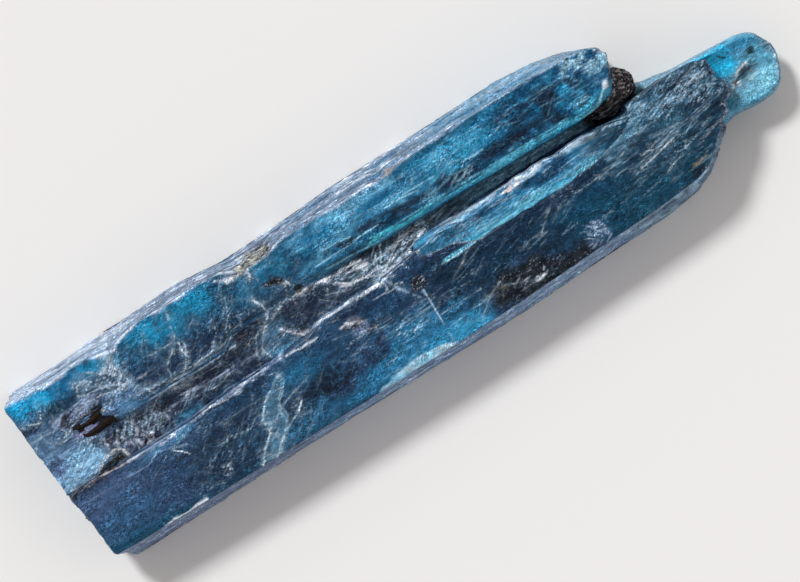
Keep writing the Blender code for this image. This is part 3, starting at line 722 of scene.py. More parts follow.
# the broken end: teal along the lower edge, a lighter cloud, a paler shelf under the ridge
front.patch((12, 66, 92), 0.8, 16, (-380, 56), (-330, 62), (-250, 70), (-200, 70), (-200, 84), (-380, 84))
front.spot((60, 118, 160), 0.25, -334, 44, 36, 16, soft=1.8)
front.paint(front.field(3, (-300, 2), (-257, -3), (-226, 2), (-245, 10), (-262, 13), (-281, 7), (-292, 13),
                        (-318, 13)) * fade(u + 6 * rough, -322, -270) * 0.75,
            mixed(0.5 + 0.6 * rough + 0.4 * close, (44, 84, 122), (92, 146, 182)))
front.stroke((140, 170, 204), 0.6, 1.2, (-319, 14), (-306, 15), (-294, 14), (-281, 7), (-262, 13), (-250, 16),
             broken=0.8)
front.patch((22, 40, 58), 0.7, 26, (-262, 24), (-205, 12), (-180, 20), (-196, 66), (-236, 74), (-266, 60))
# the middle: dark ovals in a blue ground that lightens towards the low edge
front.patch((20, 62, 92), 0.55, 24, (-160, -6), (-110, -8), (-30, -16), (40, -26), (60, 10), (-60, 26),
            (-170, 30))
front.spot((36, 104, 144), 0.6, -121, 14, 20, 13, soft=1.6)
front.patch((24, 92, 124), 0.5, 18, (-176, 60), (-120, 48), (-60, 58), (-60, 74), (-176, 74))
front.spot((16, 28, 44), 0.9, -106, 35, 40, 13, turn=6, soft=1.1)
front.spot(NAVY, 0.75, -46, 50, 22, 9, soft=1.3)
front.patch((36, 108, 148), 0.85, 30, (-56, 50), (-20, 24), (10, 22), (76, 40), (84, 78), (-86, 80))
front.patch((52, 146, 190), 0.6, 14, (-14, 54), (60, 56), (76, 64), (70, 78), (-14, 78))
front.patch((12, 38, 58), 0.92, 26, (30, -16), (104, -8), (240, -10), (266, 4), (196, 36), (70, 36), (30, 14))
front.spot(NAVY, 0.7, 52, 42, 24, 5, soft=1.4)
front.patch((14, 62, 88), 0.85, 26, (190, 16), (240, 6), (340, 16), (322, 62), (200, 68))
front.spot((18, 66, 96), 0.6, 206, 14, 44, 8, turn=4, soft=1.4)
# black mica in the face, with pale and tan flakes
sooty = front.field(16, (82, 36), (128, 30), (158, 42), (186, 46), (200, 56), (196, 70), (120, 70), (88, 62))
front.paint(sooty * 0.95, mixed(0.35 + rough * 0.7, (6, 10, 18), (36, 42, 50)), lift=-0.04, coarse=0.3)
flakes = fade(front.cloud(6, 3, 134, octaves=3, turn=24, thin=0.7), 0.30, 0.55)
front.paint(flakes * front.oval(100, 42, 22, 8) * 0.55, (104, 104, 92), lift=0.05)
front.paint(flakes * front.oval(128, 50, 18, 8) * 0.6, (160, 172, 188), lift=0.05)
front.paint(front.oval(137, 54, 7, 3.2, turn=15, soft=0.6) * fade(rough, -0.3, 0.2) * 0.9, (190, 200, 214),
            lift=0.06)
# the slanting end, torn into fibres that rise to the back
torn = fade(u + 14 * close, 215, 320) * front.up
torn_face(front, torn)
low_end = front.field(22, (230, 20), (330, 14), (350, 30), (320, 60), (230, 62))
front.paint(low_end * 0.7, (10, 56, 78))
front.patch((20, 52, 74), 0.55, 18, (244, -2), (326, -6), (330, 30), (250, 34))
front.paint(front.field(14, (246, -44), (300, -34), (296, -10), (256, -6))
            * fade(front.cloud(30, 3.4, 173, octaves=3, turn=-10) + 0.4 * rough, -0.3, 0.6) * 0.7,
            (104, 148, 174))
streaks = front.cloud(60, 6, 172, octaves=3, turn=-7)
front.paint(low_end * fade(streaks, 0.1, 0.7) * 0.6, (12, 40, 60))
front.paint(low_end * fade(-streaks, 0.4, 1.0) * 0.3, (34, 96, 124))
front.patch((72, 128, 158), 0.3, 14, (252, -42), (330, -46), (350, -20), (330, -4), (262, -14))
crusty = front.field(22, (286, -56), (410, -56), (398, 2), (356, -16), (296, -24))
front.paint(crusty * fade(rough + close, -0.2, 0.7) * 0.6, (30, 46, 62), lift=-0.03, coarse=0.7)
front.paint(crusty * fade(front.cloud(26, 3, 174, octaves=3, turn=24, thin=0.7), 0.1, 0.6) * 0.5,
            (76, 128, 156), lift=0.03)
front.paint(crusty * fade(front.cloud(16, 2.2, 175, octaves=3, turn=28, thin=0.7) + 0.3 * rough, 0.25, 0.75)
            * 0.8, (170, 194, 214), lift=0.05)
front.spot(INK, 0.9, 327, -25, 5, 4, lift=-0.08)
front.paint(front.field(14, (262, 56), (330, 46), (372, 30), (356, 66), (262, 72))
            * fade(front.cloud(20, 4, 176, octaves=3, turn=10, thin=0.7), 0.0, 0.6) * 0.5, (44, 118, 150))
front.patch(mixed(0.5 + rough, (60, 112, 140), (150, 186, 204)), 0.8, 12, (329, 54), (352, 40), (366, 38),
            (350, 62), (318, 68), coarse=1.0)
front.spot(INK, 0.9, 331, 47, 10, 5, soft=1.2, lift=-0.08)
front.spot(mixed(0.15 + rough, SOOT, (196, 184, 150)), 0.9, 332, 37, 9, 2.4, turn=12, soft=1.4, lift=-0.05)
front.patch(mixed(0.4 + rough, (26, 34, 46), (170, 180, 196)), 0.8, 7, (392, 14), (398, -4), (408, -20),
            (380, 0), (366, 24), (352, 44), (358, 46), coarse=1.0)
# cracks and veils
veil = front.field(4, (-198, 76), (-175, 50), (-174, 36), (-160, 16), (-138, 3), (-132, 8), (-150, 26),
                   (-152, 42), (-160, 54), (-184, 76))
front.paint(veil * 0.6, (78, 122, 150))
front.strokes((148, 182, 204), 0.6, 1.1,
              ((-198, 75), (-190, 62), (-176, 50), (-174, 36), (-162, 18), (-137, 3)),
              ((-186, 76), (-162, 55), (-151, 43), (-150, 28), (-133, 7)), loose=0.5, broken=0.5)
front.paint(veil * front.web * 0.6, (146, 178, 200))
joint_cracks(front)
stray_cracks(front, 71, 24, (-270, 4), (-110, 66), strength=0.2)
stray_cracks(front, 72, 16, (-100, -10), (240, 60), lean=(0, 35), strength=0.28)
cracks(front, (1.0, 1.3, (-198, 74), (-190, 62), (-175, 50), (-174, 36), (-164, 20), (-137, 4)),
       (1.0, 1.2, (-186, 75), (-158, 54), (-140, 46), (-132, 38)),
       (0.8, 1.0, (-136, 8), (-150, 24), (-156, 40)),
       (0.4, 0.8, (-175, 48), (-150, 33), (-138, 28), (-112, 20)),
       (0.32, 0.8, (-240, 44), (-215, 32), (-190, 36), (-172, 26)),
       (0.3, 0.8, (-236, 60), (-210, 48), (-186, 44)), (0.5, 1.0, (-262, 74), (-266, 64), (-258, 60)),
       (0.45, 1.0, (-250, 66), (-240, 68), (-226, 58)), (0.22, 0.8, (-300, 30), (-268, 12), (-240, 6)),
       (0.6, 0.9, (160, 18), (170, 8), (184, -4)), (0.6, 0.9, (176, 14), (186, 6), (200, -2)),
       (0.5, 1.0, (190, 12), (204, 2), (246, 0)), (0.4, 0.9, (60, 12), (76, 2), (88, -8)),
       (0.4, 1.0, (-60, 16), (-30, 14), (30, 15)), (0.4, 0.9, (-30, 28), (10, 24), (70, 22)),
       (0.4, 0.9, (0, 37), (30, 36), (78, 34)), (0.8, 1.8, (276, 14), (290, 11), (324, 4)),
       (0.7, 1.4, (284, 4), (300, 0), (334, -8)), (0.7, 1.2, (300, 30), (330, 18), (364, 6)),
       (0.5, 1.2, (236, 2), (262, -6), (296, -18)), (0.5, 1.4, (100, 38), (84, 46), (66, 60)))
# a short near-white line, partly a painted highlight
front.stroke(FROST_AND_HIGHLIGHT, 0.9, 0.8, (-265, 15), (-258, 20), (-253, 26), broken=1.0)
front.paint(front.field(3, (-72, 79), (-54, 69), (-24, 62), (2, 59), (22, 65), (44, 79), up=False)
            * fade(front.at[:, 2], 4.6, 5.2) * 0.95,
            mixed(0.5 + front.cloud(26, 3, 158), (118, 176, 204), (200, 220, 232)), lift=0.03)
front.patch(mixed(0.5 + rough, (84, 140, 168), (190, 210, 224)), 0.25, 6, (-200, 62), (-180, 68), (-160, 71),
            (-158, 77), (-198, 78))
# a near-white line along the low edge, partly a painted highlight
front.stroke(FROST_AND_HIGHLIGHT, 0.95, 2.4, (-310, 76), (-263, 74), loose=0.15, broken=0.3)
front.stroke((170, 190, 208), 0.6, 1.2, (-290, 79), (-250, 80), (-200, 78), (-150, 76), (-80, 75))
feathers = np.random.default_rng(91)
front.spot((92, 124, 158), 0.3, 207, 46, 11, 8, turn=30, soft=1.8)
for _ in range(36):
    cu, cv = feathers.uniform(198, 218), feathers.uniform(36, 56)
    turn = math.radians(feathers.choice((52, 12, -24)) + feathers.normal(0, 9))
    long = feathers.uniform(3, 11)
    thread = front.line(0.7, (cu, cv), (cu - long * math.cos(turn), cv - long * math.sin(turn)), loose=0.6,
                        broken=0.5)
    front.paint(thread * feathers.uniform(0.15, 0.7), (176, 196, 222), lift=0.03)
front.paint(front.oval(-2, 34, 12, 9, soft=1.4) * fade(front.cloud(7, 1.6, 163, turn=8), 0.2, 0.7) * 0.9,
            (186, 206, 228))
# the star of brown mica, and the patch of tan and white grains beside it
front.spot(SOOT, 0.95, 27, -2, 8, 7, soft=1.0, lift=-0.08, coarse=1.0)
front.paint(front.oval(28, -1, 6, 5, soft=1.2) * fade(rough + front.fleck * 0.5, 0.2, 0.6) * 0.7,
            (170, 172, 178), lift=0.06)
front.spot(mixed(0.5 + rough, (66, 88, 120), (150, 164, 196)), 0.45, -45, 7, 7, 6, turn=-40, soft=1.6)
front.spot(mixed(0.25 + rough * 1.3, (10, 12, 18), (160, 164, 178)), 0.9, -50, -2, 8, 4.5, turn=-16, soft=1.6,
           lift=-0.04, coarse=0.8)
front.stroke((204, 208, 216), 0.9, 1.1, (-58, -4), (-52, -6), (-46, -4), loose=1.0, broken=1.0, lift=0.04)
front.stroke((196, 202, 216), 0.8, 1.1, (-46, 2), (-42, 0), (-38, 1), loose=1.0, broken=1.0, lift=0.04)
front.spot((18, 20, 26), 0.85, -34, 13, 7, 2.6, soft=1.0, lift=-0.04, coarse=0.8)
front.stroke((196, 206, 222), 0.85, 1.1, (-46, 9), (-38, 12), (-30, 14), broken=0.9, lift=0.04)
front.spot((34, 36, 40), 0.5, -20, 8, 9, 3.4, turn=-6, soft=1.6)
# the ridge, broken white and blue along the joint: white crumbs, with a painted highlight where the edge
# faces the lamp
ridge = ((-330, 1), (-300, -1), (-260, -3), (-230, -5), (-180, -8), (-130, -10), (-92, -12), (-80, -19),
         (-44, -22), (0, -24))
lump = noise(front.wu / 9, front.wv / 3, 151) + 0.6 * noise(front.wu / 3.4, front.wv / 2, 152)
band = (fade(-front.away(ridge[:6], 0.6) + 1.6 * lump, -6.5, -2.5) * fade(v, -30, -4) * front.up
        * fade(u, -312, -296))
front.paint(band * 0.7, mixed(0.5 + 0.5 * lump, (74, 104, 142), (158, 174, 206)), lift=0.02, coarse=0.5)
front.paint(band * fade(lump + close * 0.4, 0.25, 0.75) * 0.85, (212, 220, 236), lift=0.04)
for strength, width, corners in (
    (0.9, 2.0, ((-308, 0), (-290, -1), (-262, -2))), (0.7, 1.4, ((-254, -5), (-240, -6), (-222, -6))),
    (0.9, 1.7, ((-214, -3), (-196, -1), (-180, -5))), (0.8, 1.3, ((-176, -8), (-160, -8), (-128, -9))),
    (0.9, 1.0, ((-124, -8), (-100, -8), (-86, -8))), (0.8, 0.8, ((-78, -20), (-60, -21), (-44, -22))),
    (1.0, 2.6, ((-44, -21.5), (-30, -22.5), (-6, -24))),
    (0.9, 2.2, ((4, -27), (20, -30), (34, -33), (52, -38))),
):
    front.stroke((208, 220, 236), strength, width, *corners, loose=0.8, broken=0.9, lift=0.04, coarse=0.3)
front.strokes((190, 204, 222), 0.75, 1.1, ((0, -25), (-6, -20)), ((0, -25), (6, -18), (9, -8)),
              ((0, -25), (-2, -14)), ((2, -25), (12, -22)), ((-20, -12), (4, -12)), loose=0.8, broken=0.8,
              lift=0.03)
front.stroke((130, 160, 188), 0.6, 1.0, (6, -12), (14, 0), (22, 10), loose=0.5, broken=0.9)
front.stroke((150, 178, 200), 0.8, 2.0, (52, -22), (76, -20), (92, -14), (106, -10), broken=0.9)
front.stroke((96, 172, 202), 0.9, 2.2, (62, -8.5), (74, -10), (94, -9), loose=0.5, broken=0.8, lift=0.03)
front.stroke((150, 200, 220), 0.8, 1.0, (60, -7), (80, -7.5), (98, -8), loose=0.5, broken=0.7, lift=0.03)
front.stroke(mixed(0.1 + lump, (12, 10, 12), (140, 120, 118)), 0.95, 3.6, (-372, 3), (-340, 1), (-314, -1),
             loose=0.8, broken=0.4, coarse=0.5)
front.stroke((196, 184, 186), 0.8, 1.2, (-370, 4), (-366, -2), (-350, -1), (-330, 2), (-312, 0), loose=1.0,
             broken=1.0)
dusty = front.up * (0.06 + 0.10 * torn + 0.06 * close).clip(0.0, 1.0)
front.coarse = np.maximum(front.coarse, np.maximum(crusty * 0.4, dusty))
hairs(front, 81, 40, (-60, 14), (80, 62), 4, 0.4)
hairs(front, 82, 44, (-250, 16), (-140, 74), 44, 0.2)
hairs(front, 83, 30, (60, -8), (200, 32), 18, 0.26)
hairs(front, 84, 46, (225, -36), (350, 10), 15, 0.42)
hairs(front, 93, 24, (240, 8), (370, 46), 12, 0.25)
hairs(front, 92, 50, (282, -54), (392, -14), 24, 0.75)
front.stroke((144, 178, 204), 0.9, 1.2, (29, 6), (30, 30), (30, 76), loose=0.1, broken=0.1)
front.stroke((132, 156, 186), 0.7, 1.0, (-380, 4), (-379, 14), (-372, 77), loose=0.1, broken=0.6)
silver_flank(front, 181, -1, (192, 214, 236), (130, 166, 202), (74, 102, 142))
front.paint(front.side * 0.3, (96, 126, 164))
front.paint(front.side * fade(-u + 30 * close, 60, 200) * 0.45, (74, 78, 106))
front.paint(front.side * fade(u + 20 * close, 210, 270) * 0.65,
            mixed(0.5 + rough * 0.5 + noise(u / 9, v / 3, 187), (24, 66, 90), (146, 184, 206)), coarse=0.5)
front.at[:, 0] -= 0.24 * fade(-u, 330, 372) * fade(-v, -30, -2)
short = fade(-v + 3 * close, 12, 26) * 14.0 * STEP / 34.0
front.at[:, 0] -= short * np.clip((u - 372) * STEP, 0.0, None) / STEP
ragged = 0.26 * noise(v / 5, front.at[:, 2] * 0.4, 171) + 0.16 * noise(v / 2, front.at[:, 2], 172)
front.at[:, 0] += fade(u, 335, 365) * (ragged - 0.1)
smooth, fibrous = furrows(front, 0.03, 190), furrows(front, 0.10, 195, turn=-12, close=1.4)
front.lift += smooth * (1.0 - torn) + fibrous * torn
front.lift += front.coarse * rough * 0.05
front.paint(front.web * fade(-u, -40, 120) * front.up * 0.22, (66, 116, 152))
crevice_shade(front)
front.snapped((96, 132, 164), (26, 46, 72))
front.finish("kyanite_deep", kyanite("front_kyanite", roughness=0.28, fibres=0.5, veins=0.14))

# ---------------------------------------------------------------- back blade
# The long back crystal, the highest and clearest of them: teal windows over dark inclusions, a bright
# rim along the crevice, a silvery fibrous flank where it was torn from its neighbour, and a blunt end.

back = Skin("back_blade", along=0.14, across=0.105, seed=201, hidden=(0.0, -1.0, 0.0))
u, v, s = back.u, back.v, back.s
top = fade(back.at[:, 2], 5.0, 5.5)
back.at[:, 2] += (6.34 - back.at[:, 2]).clip(0.0, None) * fade(-u, 296, 330) * fade(v, -64, -54) * top
lip = 6.62 - 0.25 * fade(u, -150, -110)
back.at[:, 2] += ((lip - back.at[:, 2]).clip(0.0, None) * fade(u, -300, -280) * fade(-u, 70, 96)
                  * fade(v, -66, -62) * top)
back.at[:, 1] -= (0.17 * fade(v, -72, -64) * fade(u, -10, 30) * fade(-u, -300, -270)
                  * fade(back.at[:, 2], 4.6, 5.4))
back.at[:, 1] += 0.22 * fade(u, -330, -290) * fade(-u, 110, 170) * fade(-v, 98, 106)
back.at[:, 0] = np.maximum(back.at[:, 0], (-391.0 + 0.8 * (-107.0 - v).clip(0.0, None) - MIDDLE_U) * STEP)
broad = back.cloud(80, 26, 210, octaves=4, thin=0.65)
close = back.fray
rough = back.cloud(8, 5, 214, octaves=3, thin=0.75)
streak = back.cloud(56, 5, 218, octaves=4, thin=0.6)
back.colour = mixed(0.5 + 0.4 * broad + 0.4 * close, (16, 54, 84), (44, 102, 138))
left = 1.0 - fade(u + 10 * close, -290, -250)
right = fade(u + 16 * close, -90, -40)
middle = (1.0 - left) * (1.0 - right)
# left end: turquoise under the silver edge, slate and crust below
back.paint(left * 0.9, mixed(0.5 + close * 0.5 + rough * 0.3, (34, 58, 86), (84, 114, 146)))
back.patch(mixed(0.5 + 0.9 * back.cloud(12, 14, 221), (4, 88, 128), (6, 146, 194)), 0.95, 16, (-396, -116),
           (-277, -108), (-268, -86), (-318, -82), (-345, -84), (-390, -88))
back.patch((10, 42, 64), 0.95, 14, (-368, -90), (-316, -88), (-312, -76), (-350, -76))
back.spot((26, 36, 58), 0.85, -377, -74, 12, 4.5, soft=0.8)
crusted = back.field(14, (-318, -92), (-270, -100), (-258, -44), (-300, -40), (-320, -58))
back.paint(crusted * 0.8, mixed(0.5 + close * 0.4 + rough * 0.5, (30, 50, 74), (100, 128, 156)), coarse=0.8)
back.paint(crusted * back.net * 0.7, (184, 200, 218), lift=0.05)
back.patch((58, 108, 142), 0.85, 8, (-304, -40), (-290, -54), (-276, -52), (-262, -44), (-270, -34),
           (-300, -32))
white = back.field(7, (-281, -106), (-264, -106), (-267, -80), (-260, -60), (-246, -42), (-262, -42),
                   (-274, -58), (-278, -80))
back.paint(white * (0.55 + 0.5 * rough), (150, 180, 204), lift=0.03, coarse=0.5)
cracks(back, (0.7, 1.2, (-386, -80), (-378, -81), (-366, -76)),
       (0.7, 1.4, (-370, -66), (-366, -54), (-358, -49), (-343, -49)),
       (0.6, 1.2, (-384, -52), (-378, -60), (-370, -58)), (0.6, 1.0, (-362, -98), (-360, -84), (-364, -76)),
       (0.5, 1.0, (-343, -60), (-330, -66), (-306, -62), (-296, -56)),
       (0.7, 1.2, (-320, -80), (-316, -90), (-306, -88), (-304, -76), (-314, -72)),
       (0.6, 1.2, (-300, -96), (-290, -88), (-278, -90)))
# middle: turquoise windows, navy below, cracks that cross the blade
back.paint(middle * 0.9, mixed(0.4 + 0.3 * broad + close * 0.4 + rough * 0.2, (20, 42, 66), (38, 78, 108)))
windows = fade(back.cloud(13, 34, 230, octaves=2) + close * 0.3, -0.4, 0.5)
back.paint(middle * back.field(24, (-266, -118), (-150, -120), (-56, -114), (-50, -78), (-150, -76),
                               (-266, -84)) * (0.15 + 0.75 * windows), (16, 98, 134))
back.spots((18, 128, 170), 0.7, (-168, -102, 12, 11), (-188, -103, 8, 9), (-206, -98, 9, 13),
           (-240, -103, 14, 8), (-222, -96, 6, 12), soft=1.6)
back.patch(mixed(0.5 + rough * 0.5, (12, 26, 48), (30, 50, 78)), 0.9, 20, (-266, -68), (-160, -76),
           (-130, -62), (-136, -44), (-266, -40))
back.patch((14, 60, 86), 0.6, 16, (-160, -114), (-130, -112), (-126, -82), (-158, -80))
back.spot((38, 96, 128), 0.4, -100, -84, 22, 12, soft=1.4)
ledge = back.field(10, (-396, -50), (-366, -50), (-340, -46), (-312, -42), (-316, -30), (-396, -30), up=False)
back.paint(ledge * fade(back.at[:, 2], 5.0, 5.4) * 0.8,
           mixed(0.4 + streak * 0.5 + rough * 0.4, (58, 84, 122), (120, 160, 194)))
inner = fade(v, -56, -48) * fade(-u, 120, 150) * fade(u, -262, -244) * back.up
back.paint(inner * 0.8, mixed(0.45 + streak * 0.5 + rough * 0.5, (20, 32, 52), (58, 88, 118)), coarse=0.4)
back.strokes((186, 200, 220), 0.85, 1.0, ((-262, -38), (-240, -41), (-214, -41), (-190, -42)),
             ((-206, -48), (-190, -50), (-176, -50)), ((-204, -40), (-176, -43)), loose=0.9, broken=0.8,
             lift=0.03)
joint_cracks(back)
stray_cracks(back, 73, 26, (-375, -96), (-60, -50), lean=(30, 80), strength=0.28)
stray_cracks(back, 74, 14, (-60, -110), (270, -70), lean=(0, 50), strength=0.35)
cracks(back, (0.8, 1.3, (-236, -79), (-212, -78)), (0.7, 1.4, (-246, -40), (-220, -44), (-178, -50)),
       (0.5, 1.2, (-160, -60), (-150, -72), (-146, -84)), (0.4, 1.0, (-66, -80), (-58, -92), (-40, -100)),
       (0.5, 1.2, (203, -112), (204, -100), (206, -88)), (0.6, 1.0, (176, -88), (190, -93), (204, -96)),
       (0.5, 1.0, (96, -82), (112, -92), (136, -98)), (0.5, 1.0, (78, -62), (86, -74), (104, -82)))
back.spots(SOOT, 0.95, (-97, -78, 6, 2.6), (-89, -74, 4, 3), (-75, -58.5, 5, 3.6), (-313, -61, 6, 4),
           (-341, -66, 9, 5), soft=1.0, lift=-0.12, coarse=0.4)
back.stroke((200, 206, 218), 0.8, 1.1, (-108, -78), (-96, -80), (-84, -74), (-82, -66), loose=0.8, broken=0.9,
            lift=0.04)
# right: the clear length
back.paint(right * 0.92, mixed(0.5 + 0.4 * broad + 0.4 * close + 0.2 * rough, (12, 62, 94), (38, 112, 150)))
back.paint(right * back.field(26, (-76, -114), (50, -114), (74, -88), (20, -80), (-60, -76)) * 0.85,
           mixed(0.45 + streak * 0.4 + close * 0.5 + rough * 0.15, (30, 106, 146), (100, 166, 200)))
back.patch(mixed(0.5 + close * 0.8 + rough * 0.2, (16, 90, 128), (52, 148, 188)), 0.85, 24, (74, -112),
           (180, -108), (190, -84), (88, -80))
back.patch((12, 66, 94), 0.75, 9, (0, -116), (100, -124), (290, -126), (290, -114), (100, -111), (0, -106))
spots = fade(back.cloud(15, 10, 240, octaves=4, thin=0.7), -0.2, 0.35)
murk = back.field(22, (170, -114), (262, -116), (280, -80), (250, -64), (150, -66), (160, -90))
back.paint(murk * 0.8, mixed(0.5 + close, (12, 78, 114), (34, 122, 164)))
back.paint(murk * spots * 0.8, (12, 32, 52))
back.patch((14, 40, 62), 0.35, 12, (96, -84), (236, -82), (250, -66), (90, -66))
for cu, cv, long, wide in (
    (50, -74, 40, 6), (14, -77, 13, 5), (120, -75, 38, 7), (194, -76, 36, 8), (236, -96, 13, 9),
    (226, -86, 9, 7), (262, -70, 9, 5), (238, -72, 12, 5), (216, -97, 12, 6), (-20, -74, 22, 4),
):
    back.paint(back.oval(cu, cv, long, wide, soft=1.2) * fade(close + back.cloud(14, 5, 246), -0.8, 0.1)
               * 0.92, mixed(0.4 + rough * 0.6, (8, 14, 28), (26, 42, 66)))
back.spot(mixed(0.4 + close * 0.8 + rough * 0.9, (20, 64, 96), (160, 204, 224)), 0.85, 284, -107, 28, 16,
          turn=-10, soft=1.4)
rim = (back.field(2, (-10, -62), (60, -63.5), (220, -64.5), (266, -67), (282, -76), (292, -70), (276, -58),
                  (240, -54), (60, -55), (-10, -58), up=False) * fade(back.at[:, 2], 5.9, 6.3))
rim *= 1.0 - 0.6 * fade(u, 255, 280)
back.paint(rim * 0.95, mixed(0.5 + streak * 0.8, (16, 116, 158), (84, 186, 218)))
back.patch((70, 200, 224), 0.85, 2, (4, -64), (30, -66), (84, -65), (60, -60.5), (0, -61))
# a pale line along the edge of the rim: painted highlight
back.stroke((150, 210, 226), 0.9, 1.3, (-42, -61), (16, -59.5), (100, -59), (240, -58), (272, -62),
            (288, -76), loose=0.15, broken=0.6)
back.stroke((110, 190, 214), 0.6, 0.9, (10, -66), (90, -66), (240, -67), loose=0.15, broken=0.8)
back.strokes((150, 204, 230), 0.75, 0.8, ((-38, -79), (-22, -79), (-5, -77)), ((-3, -72), (24, -73)),
             ((37, -84), (60, -84), (75, -82)), ((127, -84), (140, -83), (152, -83)),
             ((-50, -69), (-20, -70)), ((60, -86), (96, -86)), loose=0.15, broken=0.6)
back.stroke((20, 60, 88), 0.7, 1.6, (246, -66), (262, -64), (276, -68), (288, -78), broken=0.6)
# a near-white fleck by the blunt end: painted glint
back.spot(FROST_AND_HIGHLIGHT, 0.9, 289, -77, 4, 2.4, turn=50, soft=1.2)
back.stroke((190, 210, 224), 0.8, 2.2, (296, -114), (303, -104), (304, -94), (298, -86), broken=1.0,
            coarse=0.6)
hairs(back, 85, 44, (-50, -112), (200, -84), 3, 0.35)
hairs(back, 86, 16, (60, -100), (140, -66), 35, 0.4)
hairs(back, 87, 30, (-262, -106), (-100, -48), 62, 0.22)
wisps = fade(back.cloud(34, 2.4, 250, octaves=4, thin=0.65) + close * 0.3, 0.3, 1.0) * right
back.paint(wisps * 0.5, (128, 182, 210))
haze = fade(back.cloud(22, 3, 247, octaves=4, turn=22, thin=0.65), 0.1, 0.7)
haze = haze * back.field(20, (60, -62), (100, -104), (150, -106), (100, -62))
back.paint(haze * 0.4, (120, 170, 198))
# the pit of the brown flakes, its far side filled with pale crust
pit = (back.field(4, (-356, -74), (-298, -74), (-300, -62), (-352, -61), up=False)
       * fade(back.at[:, 2], 5.0, 5.4))
level = back.at[:, 2][pit > 0.5].max()
back.at[:, 2] += (level - 0.08 - back.at[:, 2]).clip(0.0, None) * pit
fan = back.cloud(16, 3, 281, octaves=4, turn=28, thin=0.7)
back.paint(pit * 0.85, mixed(0.35 + fan * 0.9 + close * 0.3, (36, 54, 86), (160, 178, 208)), coarse=0.3)
back.spot((38, 34, 38), 0.9, -343, -66, 4, 7, turn=-20, soft=0.8)
back.stroke((176, 196, 212), 0.9, 1.4, (-334, -36), (-316, -37), (-302, -41))
back.stroke((196, 200, 204), 0.85, 1.2, (-345, -54), (-338, -59), (-325, -61), (-308, -59), (-303, -52),
            loose=0.3, broken=0.6)
back.patch((112, 116, 150), 0.9, 2, (-343, -50), (-324, -49), (-318, -46), (-336, -42), (-344, -45))
back.patch((84, 126, 170), 0.4, 12, (-314, -64), (-264, -66), (-258, -42), (-302, -40))
# the sandy notches in the far edge, and the bright line where face and flank meet, a painted highlight along
# the edge
back_edge = ((-390, -110), (-340, -107), (-310, -108), (-265, -101), (-255, -107), (-230, -113), (-200, -110),
             (-160, -114), (-130, -101), (-75, -108), (-50, -113), (0, -111), (45, -111), (65, -116),
             (100, -118), (140, -120), (280, -121))
silver_flank(back, 260, 1, (216, 228, 242), (136, 160, 188), (58, 78, 108))
back.paint(back.side * fade(u, 60, 160) * fade(-s + 8 * close, 122, 142)
           * (0.35 + 0.4 * fade(rough, -0.5, 0.5)), (76, 142, 176))
back.paint(back.side * fade(-u, 210, 300) * fade(rough + close * 0.5, -0.8, 0.6) * 0.5, (176, 198, 226))
back.paint(back.side * fade(-u, 330, 370) * 0.4, (190, 212, 236))
back.paint(back.side * fade(u, 232, 262) * 0.6, mixed(0.5 + rough, (40, 64, 92), (108, 140, 168)))
back.stroke((150, 174, 204), 0.8, 3.4, *back_edge, loose=0.3, broken=0.9, coarse=0.6)
back.stroke((210, 222, 238), 0.8, 1.3, *back_edge, loose=0.4, broken=1.0, coarse=0.6)
sandy = back.field(5, (-134, -100), (-120, -107), (-107, -117), (-93, -124), (-83, -117), (-74, -110),
                   (-86, -103), (-110, -100), up=False)
sandy = fade(back.at[:, 2] + close + rough, 1.6, 3.4) * sandy
back.paint(sandy * 0.95, mixed(crust(back, 266, 3.4) + back.fleck * 0.5 - 0.2, (14, 18, 24), (176, 176, 168)),
           lift=-0.06, coarse=0.8)
back.stroke((214, 218, 222), 0.95, 1.7, (-134, -100), (-128, -102), (-110, -103), (-88, -104), (-76, -109),
            loose=0.8, broken=0.8, lift=0.05)
back.patch((150, 142, 140), 0.8, 4, (50, -112), (58, -119), (68, -117), (62, -110), up=False, coarse=0.8)
dusty = (0.06 + 0.12 * middle + 0.16 * left + 0.06 * close).clip(0.0, 1.0)
back.coarse = np.maximum(back.coarse, back.up * dusty)
back.lift += furrows(back, 0.025, 270) + back.coarse * rough * 0.05
back.paint(back.web * fade(-u, 20, 140) * back.up * 0.2, (76, 130, 164))
chipped = fade(u, 262, 290) * fade(-v, 80, 90)
ragged = 0.16 * noise(v / 6, back.at[:, 2] * 0.4, 273) + 0.10 * noise(v / 2.4, back.at[:, 2], 274)
back.at[:, 0] += chipped * (ragged - 0.06)
back.spots(SOOT, 0.95, (-97, -78, 5, 2.2), (-89, -74, 3.4, 2.4), (-75, -58.5, 4.4, 3.2), soft=0.9)
crevice_shade(back)
back.snapped((110, 144, 174), (30, 54, 82))
back.finish("kyanite_bright", kyanite("back_kyanite", roughness=0.22, fibres=0.45, dust=1.05, veins=0.2))

# ---------------------------------------------------------------- sunken blade
# The narrow crystal sunk between the two broad ones. Its face is broken and dusted with brown mica, and
# it sinks towards the tip to floor the dark crevice.

